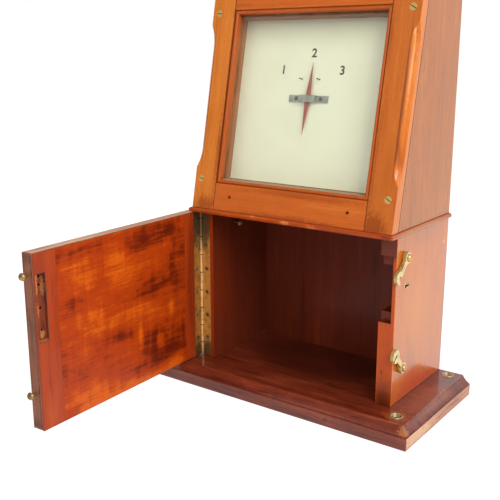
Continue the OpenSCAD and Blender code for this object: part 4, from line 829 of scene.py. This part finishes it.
doorEdge = woodMaterial("Door edge wood", "doorEdge", alongZ, 0.6, marks=[
    arrisDirt,
    makeMark(openPlace(door["freeEdge"], door["middle"], 24), (14, 6, 16), (84, 36, 18), 0.7, 0.5),
    makeMark(openPlace(door["freeEdge"], door["middle"], 202), (14, 6, 14), (84, 40, 24), 0.6, 0.5)])
doorTop = woodMaterial("Door top edge", "doorTop", alongDoor, 0.8, marks=[
    makeMark(openPlace(-40, door["middle"], door["top"]), (20, 110, 4), (176, 100, 60), 0.6, 0.4)])
doorArris = woodMaterial("Door eased edges", "doorEdge", alongZ, 0.7, tint=0.8)
rawPatch = {"color": (206, 136, 78), "ragged": 0.95, "soft": 0.5, "grain": (620, 620, 420)}
rawWood = woodMaterial("Raw recess wood", "recess", alongZ, 0.3, marks=[
    makeMark(openPlace(120, recess["floor"], 172), (4, 2.4, 14), strength=0.85, **rawPatch),
    makeMark(openPlace(119, recess["floor"], 146), (4, 1.4, 9), strength=0.6, **rawPatch),
    makeMark(openPlace(112.6, recess["floor"], 168), (4, 3.2, 11), strength=0.4, **rawPatch),
    makeMark(openPlace(115.8, recess["floor"], 121), (4, 3.2, 5.5), strength=0.7, **rawPatch),
    makeMark(openPlace(116, -67, 114.9), (4, 8, 0.8), strength=0.9, **rawPatch)])


def paintDoor(at, normal):
    # The screw holes in the recess in painted shade, the recess, the free edge, the top edge, and the rest
    facing = doorBack @ normal
    place = closedPlace(at)
    left, right = recess["across"]
    low, high = recess["up"]
    inRecess = left < place.x < right and low < place.z < high
    if inRecess and recess["holes"] < place.y < recess["floor"] - 0.01:
        return 5
    if inRecess and place.y < door["inside"] - 0.05:
        return 4
    if facing.x > squareOn and place.x > door["freeEdge"] - 1:
        return 2
    if facing.z > squareOn and place.z > door["top"]:
        return 3
    return 0


def doorJoint(middle):
    # The glued joints between the panel and its clamps
    return abs(abs(closedPlace(middle).x) - door["joint"]) < 0.1


def freeCorner(middle):
    # The free edge's two ends are worn round
    place = closedPlace(middle)
    atEdge = place.x > door["freeEdge"] - 0.5 and abs(place.y - door["middle"]) < 5
    if atEdge and place.z < door["bottom"]:
        return 1.0
    return 0.4 if atEdge and place.z > door["top"] else door["arris"] / door["corner"]


doorLayers = [doorArris, doorEdge, doorTop, rawWood, gapShade]
for label, wood in (("door_panel", panelWood), ("door_hinge_clamp", clampWood)):
    boardFromNode(label, label + "_wood", "door", [wood, *doorLayers], door["arris"], door["steps"],
                  paintDoor, crisp=doorJoint)
boardFromNode("door_free_clamp", "door_free_clamp_wood", "door", [clampWood, *doorLayers], door["corner"],
              door["cornerSteps"], paintDoor, crisp=doorJoint, share=freeCorner)
finishNode("door_studs", dullBrass)

# Piano hinge: painted shade in the seams between its knuckles, and patina at its ends
hinge = {"barrel": 2.25, "pitch": 22, "seam": 40, "top": 204, "foot": 24, "arris": 0.15}
patina = {"ragged": 0.5, "grain": (120, 120, 60)}
patinas = [makeMark((-caseHalf, -64, hinge["top"]), (60, 60, 52), (74, 62, 44), 0.85, **patina),
           makeMark((-caseHalf, -64, hinge["foot"]), (60, 60, 26), (88, 72, 46), 0.8, **patina)]
# Painted shade in the gaps between the knuckles
knuckleGapShade = [{"across": (0, 0, 1), "at": hinge["seam"], "pitch": hinge["pitch"], "width": 0.8,
                 "ragged": 0.2, "color": shade(40, 26, 14), "strength": 0.9}]
# One brass in two copies: painted shade on the door's leaf, painted light on the fixed leaf
leafBrass = {"case": metalMaterial("Fixed leaf brass", "fixedLeafLit", patinas),
             "door": metalMaterial("Door leaf brass", "doorLeafShaded", patinas)}
knuckleDark = makeMark((-caseHalf, -66, 196), (8, 8, 34), (100, 70, 42), 0.85, 0.3)
knuckleBrass = metalMaterial("Knuckle brass", "knuckle", patinas[:1] + [knuckleDark], knuckleGapShade)


def paintHinge(at, normal):
    # Plate, then knuckles, then the knuckles' ends, painted dark as the shade between the knuckles
    fromPin = math.hypot(at.x - doorAxis.x, at.y - doorAxis.y)
    if fromPin > hinge["barrel"]:
        return 0
    return 3 if abs(normal.z) > squareOn and hinge["foot"] < at.z < hinge["top"] - 1 else 2


for body, leaf in leafBrass.items():
    boardFromNode(f"hinge_{body}_leaf", f"hinge_{body}_plate", body, [leaf, leaf, knuckleBrass, gapShade],
                  hinge["arris"], paint=paintHinge, shortest=2.5)
    finishNode(f"{body}_leaf_screws", leafScrew)
finishNode("hinge_pin", knuckleBrass)
print("door made")

# Hooks

hook = {"arris": 0.3, "shortest": 0.2}
for label in ("upper", "lower"):
    # The hooks' faces in brass, their sides in darker brass as painted shade
    boardFromNode(f"{label}_hook", f"{label}_hook_brass", f"{label}_hook", [brass, brass, hookSideShade],
                  hook["arris"], shortest=hook["shortest"],
                  paint=lambda at, normal: 0 if abs(normal.x) > 0.7 else 2)
    finishNode(f"{label}_hook_screw", hookScrew)
    finishNode(f"{label}_hook_washer", hookSideShade)
print("hooks made")

# Stage, lights and camera

# roomStrength: how bright the room in front of the object shows in its polish
studio = {"floor": (0.9, 0.895, 0.885, 1), "floorWide": 6, "floorFront": -4, "floorBack": 9,
          "floorGlow": 1.5, "floorShare": 0.56, "skyStrength": 0.55, "roomStrength": 0.2,
          "lampSize": 1.2, "lampAim": (0, 0, 0.2), "keyPlace": (1.5, -0.8, 1.3), "keyPower": 26,
          "fillPlace": (-0.6, -1.6, 1.4), "fillPower": 6}


def addFloor():
    wide, front, back = studio["floorWide"], studio["floorFront"], studio["floorBack"]
    corners = [(-wide, front, 0), (wide, front, 0), (wide, back, 0), (-wide, back, 0)]
    mesh = bpy.data.meshes.new("floor")
    mesh.from_pydata(corners, [], [(0, 1, 2, 3)])
    floor = addObject("floor", mesh)
    made = bpy.data.materials.new("Studio floor")
    tree = emptyTree(made)
    plain = addNode(tree, "BsdfDiffuse", None, {"Color": studio["floor"]})
    glow = addNode(tree, "Emission", None, {"Color": (1, 1, 1, 1), "Strength": studio["floorGlow"]})
    rays = addNode(tree, "LightPath").outputs
    indirect = calc(tree, "MAXIMUM", rays["Is Glossy Ray"], rays["Is Transmission Ray"])
    seen = calc(tree, "MAXIMUM", rays["Is Camera Ray"], indirect)
    share = calc(tree, "MULTIPLY", seen, studio["floorShare"])
    both = addNode(tree, "MixShader", None, {0: share, 1: plain.outputs[0], 2: glow.outputs[0]})
    addNode(tree, "OutputMaterial", None, {"Surface": both.outputs[0]})
    mesh.materials.append(made)


def addSky():
    world = bpy.data.worlds.new("Studio")
    bpy.context.scene.world = world
    tree = emptyTree(world)
    rays = addNode(tree, "LightPath").outputs
    direction = addNode(tree, "TexCoord").outputs["Generated"]
    heading = addNode(tree, "SeparateXYZ", None, {0: direction}).outputs["Y"]
    dim = studio["roomStrength"]
    room = calc(tree, "MULTIPLY_ADD", ease(tree, heading, -0.6, 0.2), 1.0 - dim, dim)
    seen = calc(tree, "MAXIMUM", rays["Is Camera Ray"], rays["Is Transmission Ray"])
    glossy = calc(tree, "MULTIPLY", rays["Is Glossy Ray"], room)
    other = calc(tree, "SUBTRACT", 1.0, calc(tree, "MAXIMUM", seen, rays["Is Glossy Ray"]))
    strength = calc(tree, "MULTIPLY_ADD", other, studio["skyStrength"], calc(tree, "MAXIMUM", seen, glossy))
    back = addNode(tree, "Background", None, {"Color": (1, 1, 1, 1), "Strength": strength})
    addNode(tree, "OutputWorld", None, {"Surface": back.outputs[0]})


def addLamp(name, place, power):
    data = bpy.data.lights.new(name, "AREA")
    data.shape = "RECTANGLE"
    data.size = studio["lampSize"]
    data.size_y = studio["lampSize"]
    data.energy = power
    lamp = addObject(name, data)
    lamp.location = place
    lamp.rotation_euler = (Vector(studio["lampAim"]) - Vector(place)).to_track_quat("-Z", "Y").to_euler()
    return lamp


addFloor()
addSky()
addLamp("key", studio["keyPlace"], studio["keyPower"])
fill = addLamp("fill", studio["fillPlace"], studio["fillPower"])
fill.visible_glossy = False
fill.visible_transmission = False

view = {"place": (0.4578, -0.76141, 0.38127), "down": 14.0, "turn": 36.32, "lens": 56.63, "sensor": 36,
        "nearest": 0.01}
camera = addObject("camera", bpy.data.cameras.new("camera"))
camera.location = view["place"]
camera.rotation_euler = (math.radians(90 - view["down"]), 0, math.radians(view["turn"]))
camera.data.lens = view["lens"]
camera.data.sensor_width = view["sensor"]
camera.data.clip_start = view["nearest"]
bpy.context.scene.camera = camera
bpy.context.scene.view_settings.view_transform = "Standard"
print("stage, lights and camera set")

bpy.context.view_layer.update()
